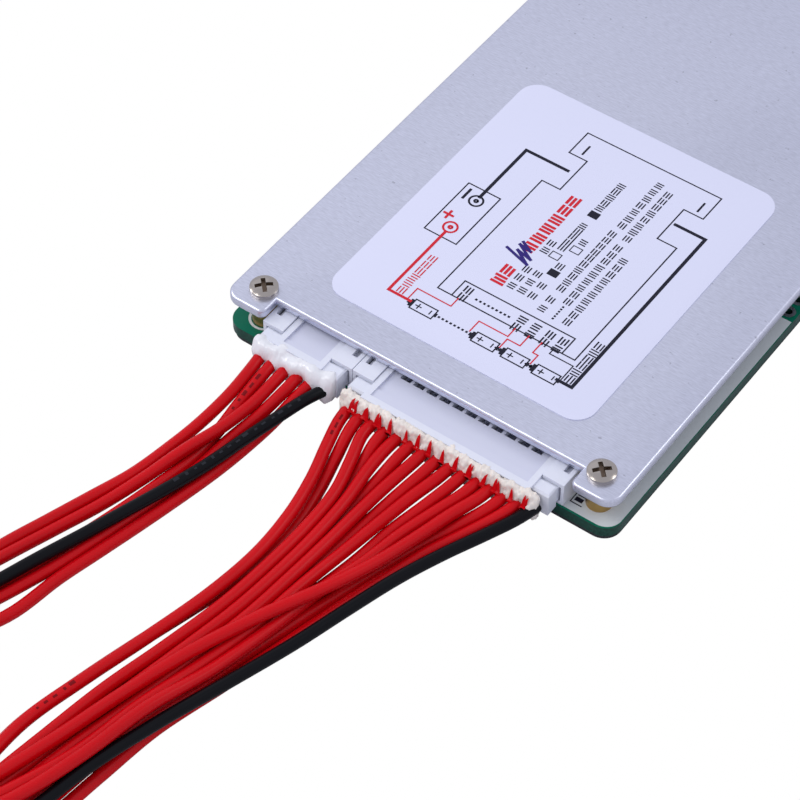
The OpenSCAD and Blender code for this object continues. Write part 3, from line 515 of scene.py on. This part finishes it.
for material, pieces in (
        (sheet_black, ["insulating_sheet"]), (board_green, ["circuit_board"]),
        (brass, ["standoffs"]), (gap_pad, ["thermal_pad"]), (ceramic, ["filter_capacitors"]),
        (tinned, ["header_pins", "crimp_contacts", "transistor_tabs", "chip_leads", "bus_bars",
            "cable_pads"]),
        (package, ["power_transistors", "shunt_resistors", "balance_resistors",
            "signal_transistors", "monitor_chips", "zener_diodes", "thermistor"])):
    for node in pieces:
        dress(node, material)
rounded_pieces = (
    ("small_header", plastic, 0.08), ("large_header", plastic, 0.08),
    ("small_plug", small_window, 0.08), ("large_plug", large_window, 0.08),
    ("cover_screws", nickel, 0.06),
    ("small_coil_tie", tie_nylon, 0.1), ("large_coil_tie", tie_nylon, 0.1))
for node, material, bevel in rounded_pieces:
    dress(node, material, bevel * MM)
print(len(rounded_pieces), "CAD nodes with rounded edges")

# %% [markdown]
# ## Cover plate
#
# The plate is sheared from brushed sheet, and the punch rolls its top edge over. The CAD solid has
# sharp edges. A Bevel modifier on it would also round the screw holes, so the plate is drawn again:
# the outline is raised to a prism, and only its outer rims are rounded. The outline has ears beside
# the plugs, a recess between them, and a notch on each side.

# %% Outlines and prisms
RIM_GAP = 1e-7


def arc(x, y, r, start, end, steps=10):
    """Points of an arc, in millimetres, from angle start to end in degrees."""
    turns = [math.radians(start + (end - start) * k / steps) for k in range(steps + 1)]
    return [(x + r * math.cos(turn), y + r * math.sin(turn)) for turn in turns]


def add_mesh(name, bm, material, sharp=35):
    """Turns a bmesh into an object that rides on the board."""
    made = smooth_object(name, bm, sharp)
    made.data.materials.append(material)
    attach(made, "root")
    return made


def prism(name, outline, low, high, material, bevel=0.0, segments=3, both=True):
    """An upright prism on an outline in millimetres, with its rims rounded."""
    bm = bmesh.new()
    face = bm.faces.new([bm.verts.new((x * MM, y * MM, low * MM)) for x, y in outline])
    raised = bmesh.ops.extrude_face_region(bm, geom=[face])["geom"]
    bmesh.ops.translate(bm, vec=(0, 0, (high - low) * MM),
        verts=[v for v in raised if isinstance(v, bmesh.types.BMVert)])
    bmesh.ops.recalc_face_normals(bm, faces=bm.faces)
    if bevel:
        levels = [high * MM] + ([low * MM] if both else [])
        rims = [edge for edge in bm.edges
            if any(all(abs(v.co.z - z) < RIM_GAP for v in edge.verts) for z in levels)]
        bmesh.ops.bevel(bm, geom=rims, offset=bevel * MM, offset_type="OFFSET",
            segments=segments, profile=0.5, affect="EDGES", material=-1, clamp_overlap=True)
    return add_mesh(name, bm, material)


# %% Make the plate
FRONT, PLATE_L, PLATE_Z, PLATE_TOP = -58.5, 120, 6.4, 7.9
END = FRONT + PLATE_L
PLATE_HALF, CORNER_R, EAR_X, EAR_R, RECESS_D = 30, 2.2, 23.6, 1, 3
NOTCH_FRONT, NOTCH_REAR, NOTCH_X = FRONT + 82, FRONT + 104, 21.5

right = (arc(EAR_X + EAR_R, FRONT + EAR_R, EAR_R, 180, 270)
    + arc(PLATE_HALF - CORNER_R, FRONT + CORNER_R, CORNER_R, 270, 360)
    + [(PLATE_HALF, NOTCH_FRONT), (NOTCH_X, NOTCH_FRONT), (NOTCH_X, NOTCH_REAR),
        (PLATE_HALF, NOTCH_REAR)]
    + arc(PLATE_HALF - CORNER_R, END - CORNER_R, CORNER_R, 0, 90))
outline = ([(EAR_X, FRONT + RECESS_D)] + right + [(-x, y) for x, y in reversed(right)]
    + [(-EAR_X, FRONT + RECESS_D)])
plate = prism("plate", outline, PLATE_Z, PLATE_TOP, aluminium, bevel=0.45, segments=5)
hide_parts("cover_plate")
print("plate", len(plate.data.polygons), "faces")

# %% [markdown]
# ## Label and its print
#
# The label shows how the cells are wired. Print could be drawn in the finish, but it would blur
# close by. Thin strips of mesh over the label stay sharp from any distance. Its lines, cells, rings
# and signs are drawn that way. Groups of plain dashes stand for its written notes, so it carries no
# words.

# %% Label
LABEL_R, LABEL_T = 3, 0.12
LABEL_TOP = PLATE_TOP + LABEL_T
x0, y0, x1, y1 = -20.1, FRONT + 8.2, 20.1, FRONT + 56.2

corners = []
for x, y, start in ((x1 - LABEL_R, y1 - LABEL_R, 0), (x0 + LABEL_R, y1 - LABEL_R, 90),
        (x0 + LABEL_R, y0 + LABEL_R, 180), (x1 - LABEL_R, y0 + LABEL_R, 270)):
    corners += arc(x, y, LABEL_R, start, start + 90)
label = prism("label", corners, PLATE_TOP, LABEL_TOP, label_paper, bevel=0.04, both=False)
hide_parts("wiring_label")
print("label", round(x1 - x0, 1), "x", round(y1 - y0, 1), "mm")


# %% Print helpers
class Print:
    """Thin ink shapes on the label, in millimetres from the plate's front and centre line."""

    def __init__(self, name, material, level):
        self.name, self.material, self.z = name, material, (LABEL_TOP + level) * MM
        self.bm, self.count = bmesh.new(), 0

    def poly(self, points):
        """A filled shape. Neighbours lie a micron apart in height, so that none share a plane."""
        level = self.z + 0.001 * MM * (self.count % 7)
        self.bm.faces.new([self.bm.verts.new((x * MM, (FRONT + y) * MM, level))
            for x, y in points])
        self.count += 1

    def line(self, points, width):
        """A strip of quads along each stretch, with square ends that overlap at the corners."""
        for (xa, ya), (xb, yb) in zip(points, points[1:]):
            length = math.hypot(xb - xa, yb - ya)
            ux, uy = (xb - xa) / length * width / 2, (yb - ya) / length * width / 2
            self.poly([(xa - ux + uy, ya - uy - ux), (xb + ux + uy, yb + uy - ux),
                (xb + ux - uy, yb + uy + ux), (xa - ux - uy, ya - uy + ux)])

    def box(self, xa, ya, xb, yb):
        """A filled rectangle between two corners."""
        self.poly([(xa, ya), (xb, ya), (xb, yb), (xa, yb)])

    def dots(self, a, b, count, size):
        """A row of small squares from a to b."""
        for k in range(count):
            t = k / (count - 1)
            x, y = a[0] + (b[0] - a[0]) * t, a[1] + (b[1] - a[1]) * t
            self.box(x - size / 2, y - size / 2, x + size / 2, y + size / 2)

    def ring(self, x, y, r, width):
        """A circle drawn with a line."""
        self.line([(x + r * math.cos(a * math.pi / 12), y + r * math.sin(a * math.pi / 12))
            for a in range(25)], width)

    def blocks(self, x, start, end, size, pitch, seed, bold=0.15):
        """A line of notes as groups of short plain dashes, along the line or across it."""
        chance = random.Random(seed)
        y = start
        while y + size * 0.6 < end:
            along = chance.random() < 0.5
            for row in (-1, 0, 1):
                low = size * 0.12 * chance.random()
                high = size * (0.8 - 0.12 * chance.random())
                if along:
                    across = x + size * 0.31 * row
                    self.line([(across, y + low), (across, y + high)], size * bold)
                else:
                    left, level = x - size * 0.4, y + size * (0.4 + 0.3 * row)
                    self.line([(left + low, level), (left + high, level)], size * bold)
            y += pitch

    def make(self):
        """Puts the shapes on the label as one object."""
        mesh = bpy.data.meshes.new(self.name)
        self.bm.to_mesh(mesh)
        self.bm.free()
        mesh.materials.append(self.material)
        made = bpy.data.objects.new(self.name, mesh)
        scene.collection.objects.link(made)
        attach(made, "root")
        return made


# %% Print the wiring
THIN, BOLD, WIRE_LINE, SIGN_LINE = 0.2, 0.5, 0.18, 0.36
black_print = Print("black_print", ink_black, 0.006)
red_print = Print("red_print", ink_red, 0.016)
blue_print = Print("blue_print", ink_blue, 0.026)

# outline of the module, its connector strip and its two pads
black_print.line([(-8, 51.8), (13.2, 51.8), (13.2, 47.2), (10.2, 47.2), (10.2, 40.7),
    (13.2, 40.7), (13.2, 16.75), (-8, 16.75), (-8, 40.7), (-5.1, 40.7), (-5.1, 47.2),
    (-8, 47.2), (-8, 51.8)], THIN)
black_print.line([(-5.8, 19.8), (11.25, 19.8), (11.25, 16.8)], THIN)
black_print.line([(-5.8, 19.8), (-5.8, 16.8)], THIN)
black_print.dots((-2.76, 17.95), (2.3, 17.95), 9, 0.34)
for x in (-6.35, 11.85):
    black_print.line([(x, 48.0), (x, 49.7)], 0.3)

# the charger, with its two terminals
black_print.line([(-15.6, 34.6), (-10.5, 34.6), (-10.5, 24.4), (-15.6, 24.4), (-15.6, 34.6)],
    THIN)
for ink, y in ((black_print, 32.4), (red_print, 26.5)):
    ink.ring(-12.9, y, 0.95, 0.28)
    ink.ring(-12.9, y, 0.22, 0.3)
black_print.line([(-14.7, 31.9), (-14.7, 33.7)], 0.4)
black_print.line([(-12.9, 33.3), (-12.9, 44.2), (-6.2, 44.2)], BOLD)
black_print.line([(10.8, 44.2), (15.4, 44.2), (15.4, 12.75), (13.2, 12.75)], BOLD)
red_print.line([(-15.1, 28.3), (-13.8, 28.3)], SIGN_LINE)
red_print.line([(-14.45, 27.6), (-14.45, 28.95)], SIGN_LINE)
red_print.line([(-12.95, 25.5), (-12.95, 12.8), (-9.5, 12.8)], 0.42)

# the cells and their leads
for x in (-9.0, 0.6, 5.2, 9.9):
    black_print.line([(x, 11.8), (x + 3.4, 11.8), (x + 3.4, 13.5), (x, 13.5), (x, 11.8)], THIN)
    black_print.box(x - 0.5, 12.0, x, 13.3)
    black_print.box(x - 0.8, 12.35, x - 0.5, 12.95)
    black_print.box(x + 3.4, 12.3, x + 3.75, 13.0)
    black_print.line([(x + 2.75, 12.35), (x + 2.75, 12.95)], WIRE_LINE)
    black_print.line([(x + 0.5, 12.65), (x + 1.3, 12.65)], WIRE_LINE)
    black_print.line([(x + 0.9, 12.25), (x + 0.9, 13.05)], WIRE_LINE)
black_print.dots((-4.9, 12.66), (-0.6, 12.66), 8, 0.34)
for a, b in ((3.9, 5.2), (8.5, 9.9)):
    black_print.line([(a, 12.66), (b, 12.66)], 0.25)
for route in ([(-4.75, 16.75), (-4.75, 15.1), (-10, 15.1), (-10, 12.8)],
        [(4.1, 16.75), (4.1, 15.1), (-0.35, 15.1), (-0.35, 13)],
        [(6.25, 16.75), (6.25, 14.7), (4.3, 14.7), (4.3, 13)],
        [(8.2, 16.75), (8.2, 14.7), (9.0, 14.7), (9.0, 13)]):
    red_print.line(route, WIRE_LINE)
black_print.line([(10, 16.75), (10, 15.8), (13.6, 15.8), (13.6, 12.8)], WIRE_LINE)
print("wiring", black_print.count + red_print.count, "shapes")

# %% Print the notes as dashes
TITLE_SIZE, NOTE_SIZE, SIDE_SIZE = 2.0, 1.35, 1.5
for start, end, pitch in ((21.8, 26.6, 1.9), (28.8, 41.2, 2.05)):
    red_print.blocks(-2.4, start, end, TITLE_SIZE, pitch, round(start), 0.21)
for x, start, end, pitch in (
        (-0.5, 22.1, 28.0, 1.75), (-0.5, 29.8, 32.6, 1.5), (1.1, 22.2, 28.2, 1.75),
        (1.1, 31.5, 37.6, 1.2), (1.15, 40.3, 46.4, 1.25), (2.7, 22.2, 25.8, 2.1),
        (2.7, 28.5, 29.6, 1.5), (2.8, 33.8, 35.0, 1.5), (4.95, 21.1, 24.2, 1.9),
        (5.0, 25.4, 39.0, 1.32), (5.2, 39.4, 49.6, 1.5), (7.0, 24.0, 36.6, 1.45),
        (7.1, 37.8, 49.0, 1.4), (8.85, 21.0, 36.0, 1.45)):
    black_print.blocks(x, start, end, NOTE_SIZE, pitch, round(x * 7 + start))
black_print.dots((7.0, 21.0), (7.0, 23.4), 6, 0.3)
for x, y in ((1.15, 39.4), (2.67, 27.6)):
    black_print.box(x - 0.75, y - 0.6, x + 0.75, y + 0.6)
for x, y in ((1.13, 30.3), (2.78, 32.7)):
    black_print.line([(x - 0.7, y - 0.55), (x - 0.7, y + 0.55), (x + 0.7, y + 0.55),
        (x + 0.7, y - 0.55), (x - 0.7, y - 0.55)], 0.15)
for x in (4.0, 6.15, 8.35, 10.3):
    black_print.blocks(x, 16.4, 19.2, SIDE_SIZE, 1.5, round(x), 0.16)
black_print.blocks(-4.5, 16.6, 19.3, SIDE_SIZE, 1.5, 40, 0.16)
red_print.blocks(-11.5, 13.1, 22.0, SIDE_SIZE, 1.35, 11, 0.12)
black_print.blocks(14.45, 13.1, 21.8, SIDE_SIZE, 1.35, 12, 0.14)
blue_print.line([(-4.8, 27.9), (-1.0, 26.8), (-3.4, 28.3), (-1.1, 27.8), (-3.7, 29.3),
    (-1.9, 29.0), (-3.6, 29.9)], 0.42)
prints = [black_print.make(), red_print.make(), blue_print.make()]
print("print", sum(len(p.data.polygons) for p in prints), "shapes")

# %% [markdown]
# ## Screw recesses
#
# Shade falls deep in each cross recess, below the bright plated walls. The screws are one CAD
# node with one finish, so a thin star with a finish of its own is laid in each recess. Its dark
# brown colour is painted shade, and its bump gives a few scratches.

# %% Screw recesses
SCREW_X, SCREW_INSET = 26, 3.5
RECESS_Z, RECESS_T = PLATE_TOP + 0.3, 0.05
ARM, ARM_HALF = 1.17, 0.27

# painted shade: the dark brown metal of the star stands for the shade at the bottom of each recess
recess_shade = finish("painted_recess_shade", (0.13, 0.095, 0.07), 0.3, metallic=1.0, grain=2500, bump=0.9,
    vary=0.4)
quarter = ((ARM_HALF, ARM_HALF), (ARM_HALF, ARM), (-ARM_HALF, ARM))
star = [(a * c - b * d, a * d + b * c) for c, d in ((1, 0), (0, 1), (-1, 0), (0, -1))
    for a, b in quarter]
turn = math.radians(45)
places = [(side * SCREW_X, y) for side in (-1, 1) for y in (FRONT + SCREW_INSET, END - SCREW_INSET)]
for k, (x, y) in enumerate(places):
    turned = [(x + a * math.cos(turn) - b * math.sin(turn),
        y + a * math.sin(turn) + b * math.cos(turn)) for a, b in star]
    recess = prism("screw_recess_shade_%d" % k, turned, RECESS_Z, RECESS_Z + RECESS_T, recess_shade)
print(len(places), "recesses")

# %% [markdown]
# ## Glue over the lead entries
#
# Each plug's leads are held by a bead of glue, squeezed along the row by hand. The bead swells
# round each lead and stays uneven. A smooth rod with a bump would keep an even outline, so its skin
# is rings of points that noise pushes in and out.

# %% Glue beads
BEAD_MARGIN, BEAD_RINGS, BEAD_AROUND = 1.4, 8, 44
SLOPING, SQUARER, END_SIZE, END_HEIGHT = 1.05, 0.5, 0.35, 0.7
FINE_NOISE, FINEST_NOISE = 2.6, 6


def signed_power(value, power):
    """A power that keeps the sign, which makes a round section squarer or slimmer."""
    return math.copysign(abs(value) ** power, value)


def bead(name, middle, ways, size, rough, coarse, grain, trim, material):
    """A closed, uneven bead along X, with a sloping front, in millimetres."""
    front, rear, low, high = size
    half = ways - 1 + BEAD_MARGIN
    span = 2 * half - trim
    steps = round(span * BEAD_RINGS)
    bm = bmesh.new()
    rings = []
    for i in range(steps + 1):
        x = middle - half + span * i / steps
        end = min(1, END_SIZE + min(i, steps - i) / BEAD_RINGS) ** 0.5
        tall = END_HEIGHT + (1 - END_HEIGHT) * end
        ring = []
        for k in range(BEAD_AROUND):
            angle = 2 * math.pi * k / BEAD_AROUND
            c, s = math.cos(angle), math.sin(angle)
            power = SLOPING if c < 0 < s else SQUARER
            y = (front + rear) / 2 + (rear - front) / 2 * signed_power(c, power) * end
            z = (low + high) / 2 + (high - low) / 2 * signed_power(s, power) * tall
            spot = Vector((x, y, z))
            push = rough * noise.noise(spot * coarse) + grain * noise.noise(spot * FINE_NOISE)
            push += 0.6 * grain * noise.noise(spot * FINEST_NOISE)
            ring.append(bm.verts.new((x * MM, (y + push * c) * MM, (z + push * s) * MM)))
        rings.append(ring)
    skin(bm, rings)
    return add_mesh(name, bm, material, sharp=80)


for plug, middle, ways, size, rough, coarse, grain, trim, material in (
        ("small", SMALL_MID, 6, (-62.05, -59.6, 1.8, 6.02), 0.6, 0.5, 0.07, 0.3, clear_glue),
        ("large", LARGE_MID, 15, (-62.45, -60.7, 1.9, 6.05), 0.34, 0.8, 0.26, 0.9, glue)):
    made = bead(plug + "_bead", middle / MM, ways, size, rough, coarse, grain, trim, material)
    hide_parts(plug + "_plug_glue")
    print(made.name, len(made.data.polygons), "faces")

# %% [markdown]
# The glue tears where the leads were moved before it set. Thin red points of each lead's skin stand
# up over the bead, each bent in its own way. Random draws with a fixed seed give every point its
# lean and reach, so no two are alike and each run gives the same ones.

# %% Torn points of the leads' skin
SPIKE_RINGS, SPIKE_W, TIP_W, ROOT_Y, ROOT_Z = 5, 0.44, 0.02, -62.95, 4.4
SLOPE_Y, SLOPE_RUN, SLOPE_RISE, TIP_LIFT = -62.55, 0.9, 1.75, 0.2


def torn_points(name, middle, ways, seed, material):
    """Small curved spikes at the root of each lead, in millimetres."""
    chance = random.Random(seed)
    bm = bmesh.new()
    turns = [math.pi * j / 3 for j in range(6)]
    for number in range(ways):
        x = middle + (number - (ways - 1) / 2) * 2
        for spike in range(chance.choice((1, 2))):
            lean, reach = chance.uniform(-0.3, 0.45), chance.uniform(0.75, 1.15)
            root = x + chance.uniform(-0.25, 0.35)
            rings = []
            for k in range(SPIKE_RINGS):
                t = k / (SPIKE_RINGS - 1)
                w = SPIKE_W * (1 - t) ** 0.75 + TIP_W
                cx, cy = root + lean * t * t, ROOT_Y + reach * t
                slope = min(1, max(0, (cy - SLOPE_Y) / SLOPE_RUN))
                cz = ROOT_Z + SLOPE_RISE * (1 - (1 - slope) ** 2) ** 0.5 + TIP_LIFT * t
                rings.append([bm.verts.new(((cx + w * math.cos(a)) * MM, cy * MM,
                    (cz + 0.5 * w * math.sin(a)) * MM)) for a in turns])
            skin(bm, rings)
    return add_mesh(name, bm, material, sharp=60)


torn = torn_points("torn_points", LARGE_MID / MM, 14, 5, red)
print("torn points", len(torn.data.polygons), "faces")

# %% [markdown]
# A few leads carry small printed marks along their skin, dark on the red leads and grey on the
# black ones. They are short bars that spell nothing. Patches of mesh just over the skin follow its
# bends, and a printed finish would need each lead unwrapped.

# %% Marks along the leads
MARK_LIFT, MARK_GAP, MARK_CELLS = 0.015 * MM, 1.35 * MM, 3


def lead_marks(name, points, first, count, material, seed):
    """A row of short bars along a lead, the first one at a length in metres from its start."""
    chance = random.Random(seed)
    bm = bmesh.new()
    lengths = [0.0]
    for a, b in zip(points, points[1:]):
        lengths.append(lengths[-1] + (b - a).length)

    def spot(s, angle):
        """A point just over the skin, at a length along the lead and an angle round it."""
        i = max(k for k in range(len(points) - 1) if lengths[k] <= s)
        along = (points[i + 1] - points[i]).normalized()
        side = along.cross(Vector((0, 0, 1))).normalized()
        out = side.cross(along) * math.cos(angle) + side * math.sin(angle)
        return points[i] + along * (s - lengths[i]) + out * (WIRE_D / 2 + MARK_LIFT)

    cells = range(MARK_CELLS)
    for k in range(count):
        length, width = chance.uniform(0.3, 0.85) * MM, chance.uniform(0.3, 0.6)
        s, angle = first + MARK_GAP * k, -0.45 + chance.uniform(0, 0.15)
        grid = [[bm.verts.new(spot(s + length * i / MARK_CELLS, angle + width * j / MARK_CELLS))
            for j in range(MARK_CELLS + 1)] for i in range(MARK_CELLS + 1)]
        for i, j in [(i, j) for i in cells for j in cells]:
            bm.faces.new((grid[i][j], grid[i + 1][j], grid[i + 1][j + 1], grid[i][j + 1]))
    return add_mesh(name, bm, material)


print_dark = finish("lead_print_dark", (0.20, 0.003, 0.006), 0.5, bump=0, Specular_IOR_Level=0.1)
print_grey = finish("lead_print_grey", (0.022, 0.024, 0.03), 0.5, bump=0, Specular_IOR_Level=0.1)
LEAD_PATHS = {node: points for node, points, coil in leads}
stretches = (("small_wire_2", 3.2, 6), ("small_wire_6", 4, 15), ("large_wire_1", 2.6, 3),
    ("large_wire_1", 54, 5), ("large_wire_1", 66, 4))
for k, (node, first, count) in enumerate(stretches):
    is_black = node in BLACK_LEADS
    marks = lead_marks("lead_marks_%d" % k, LEAD_PATHS[node], first * MM, count,
        print_grey if is_black else print_dark, 20 + k)
print("lead marks on", len(stretches), "stretches")

# %% [markdown]
# ## Silkscreen and pads
#
# A white field is printed over the board's right front corner, a ring is printed round each
# standoff, and the spare plated holes by the right edge have round tinned pads. The print is a few
# hundredths of a millimetre high. Thin meshes over the board give it, and keep their edges sharp.

# %% Silkscreen
BOARD_TOP = 2.4
FIELD_TOP, MARK_TOP = BOARD_TOP + 0.02, BOARD_TOP + 0.035

field_outline = ([(23, FRONT + 43), (22.4, FRONT + 0.3)]
    + arc(27.63, FRONT + 2.55, 2.25, 270, 360) + [(29.88, FRONT + 43)])
field = prism("silkscreen_field", field_outline, BOARD_TOP, FIELD_TOP, silkscreen)
bars = ((22.95, 1.55, 23.1, 3.9), (22.95, 1.4, 24.7, 1.55), (23.3, 1.9, 24.4, 2.55),
    (23.3, 2.8, 24.4, 3.6))
for k, (xa, ya, xb, yb) in enumerate(bars):
    bar = [(xa, FRONT + ya), (xb, FRONT + ya), (xb, FRONT + yb), (xa, FRONT + yb)]
    mark = prism("board_mark_%d" % k, bar, FIELD_TOP, MARK_TOP, ink_black)
print("silkscreen field with", len(bars), "bars")

# %% Pads and rings
RING_STEPS, JOIN_GAP = 32, 1e-6
PAD_X, PAD_Y, PAD_PITCH, PAD_TOP = 28.6, FRONT + 44.4, 2.54, BOARD_TOP + 0.03


def flat_ring(name, x, y, inner, outer, high, material):
    """A flat ring round a hole, facing up, in millimetres."""
    bm = bmesh.new()
    for k in range(RING_STEPS):
        a, b = 2 * math.pi * k / RING_STEPS, 2 * math.pi * (k + 1) / RING_STEPS
        bm.faces.new([bm.verts.new(((x + r * math.cos(t)) * MM, (y + r * math.sin(t)) * MM,
            high * MM)) for r, t in ((inner, a), (outer, a), (outer, b), (inner, b))])
    bmesh.ops.remove_doubles(bm, verts=bm.verts, dist=JOIN_GAP)
    bmesh.ops.recalc_face_normals(bm, faces=bm.faces)
    for face in bm.faces:
        if face.normal.z < 0:
            face.normal_flip()
    return add_mesh(name, bm, material)


for k in range(4):
    ring = flat_ring("spare_pad_%d" % k, PAD_X, PAD_Y + PAD_PITCH * k, 0.5, 1.0, PAD_TOP, tinned)
for k, (x, y) in enumerate(((-26, 3.5), (-26, 116.5), (26, 116.5))):
    ring = flat_ring("standoff_mark_%d" % k, x, FRONT + y, 1.9, 2.25, FIELD_TOP, silkscreen)
print("4 pads and", k + 1, "rings")

# %% [markdown]
# ## Light and backdrop
#
# The board lies on a white table, under a soft and slightly cool sky that lights it from all sides.
# The camera sees the table and the sky as plain white. Other rays meet a table that is a little
# darker, because a plain white one would throw too much light on the sides of the board.

# %% Table and sky
TABLE_HALF = 0.45
WHITE, TABLE_COLOR = (1, 1, 1, 1), (0.62, 0.62, 0.64, 1)
SKY_COLOR, SKY_LIGHT = (0.82, 0.835, 0.955, 1), 0.82


def by_ray(nodes, links, share, others, seen, output):
    """Shows one shader where the share is 1, and the other one elsewhere."""
    both = nodes.new("ShaderNodeMixShader")
    for slot, socket in zip(both.inputs, (share, others.outputs[0], seen.outputs[0])):
        links.new(socket, slot)
    links.new(both.outputs[0], output)


bm = bmesh.new()
bmesh.ops.create_grid(bm, x_segments=1, y_segments=1, size=TABLE_HALF)
table_mesh = bpy.data.meshes.new("table")
bm.to_mesh(table_mesh)
bm.free()
table = bpy.data.objects.new("table", table_mesh)
scene.collection.objects.link(table)
white = bpy.data.materials.new("white_table")
white.use_nodes = True
table.data.materials.append(white)
nodes, links = white.node_tree.nodes, white.node_tree.links
shader = nodes["Principled BSDF"]
shader.inputs["Base Color"].default_value = TABLE_COLOR
shader.inputs["Roughness"].default_value = 0.9
path = nodes.new("ShaderNodeLightPath").outputs
seen = math_node(nodes, links, "MAXIMUM", path["Is Camera Ray"], path["Is Transmission Ray"])
by_ray(nodes, links, seen, shader, nodes.new("ShaderNodeEmission"),
    nodes["Material Output"].inputs["Surface"])

world = bpy.data.worlds.new("studio")
scene.world = world
world.use_nodes = True
nodes, links = world.node_tree.nodes, world.node_tree.links
sky = nodes["Background"]
sky.inputs["Color"].default_value = SKY_COLOR
sky.inputs["Strength"].default_value = SKY_LIGHT
plain = nodes.new("ShaderNodeBackground")
plain.inputs["Color"].default_value = WHITE
by_ray(nodes, links, nodes.new("ShaderNodeLightPath").outputs["Is Camera Ray"], sky, plain,
    nodes["World Output"].inputs["Surface"])
print("table", 2 * TABLE_HALF, "m wide")

# %% [markdown]
# Four square lights stand round the board. The key light, to the left, gives the leads and the
# plugs their highlights. The wide and weak glow stands where the plate mirrors it, and gives the
# plate its slow change of tone. A panel in front and one to the right brighten the sides. A picture
# of a room could light the scene at once, but lights can be moved and changed one at a time.

# %% Lights
def area_light(name, place, target, size, power, color):
    """A square light at a place, turned towards a target."""
    data = bpy.data.lights.new(name, "AREA")
    data.shape = "SQUARE"
    data.size = size
    data.energy = power
    data.color = color
    lamp = bpy.data.objects.new(name, data)
    lamp.location = place
    lamp.rotation_mode = "QUATERNION"
    lamp.rotation_quaternion = (Vector(target) - Vector(place)).to_track_quat("-Z", "Y")
    scene.collection.objects.link(lamp)


area_light("key", (-0.75, -0.25, 0.55), (0, -0.05, 0), 0.3, 1.6, (1, 0.99, 0.97))
area_light("glow", (-0.52, 0.38, 0.57), (0, -0.02, 0), 0.55, 0.15, (1, 0.99, 0.98))
area_light("front_panel", (-0.34, -0.42, 0.75), (0, -0.05, 0), 0.36, 1.5, (1, 0.995, 0.985))
area_light("side_panel", (0.42, 0.42, 0.64), (0, 0, 0), 0.26, 0.7, (1, 0.995, 0.985))
scene.view_settings.view_transform = "Standard"
print(len(bpy.data.lights), "lights")

# %% [markdown]
# ## Finish
#
# The scene is brought up to date once more.

# %% Bring the scene up to date and finish
save_size()
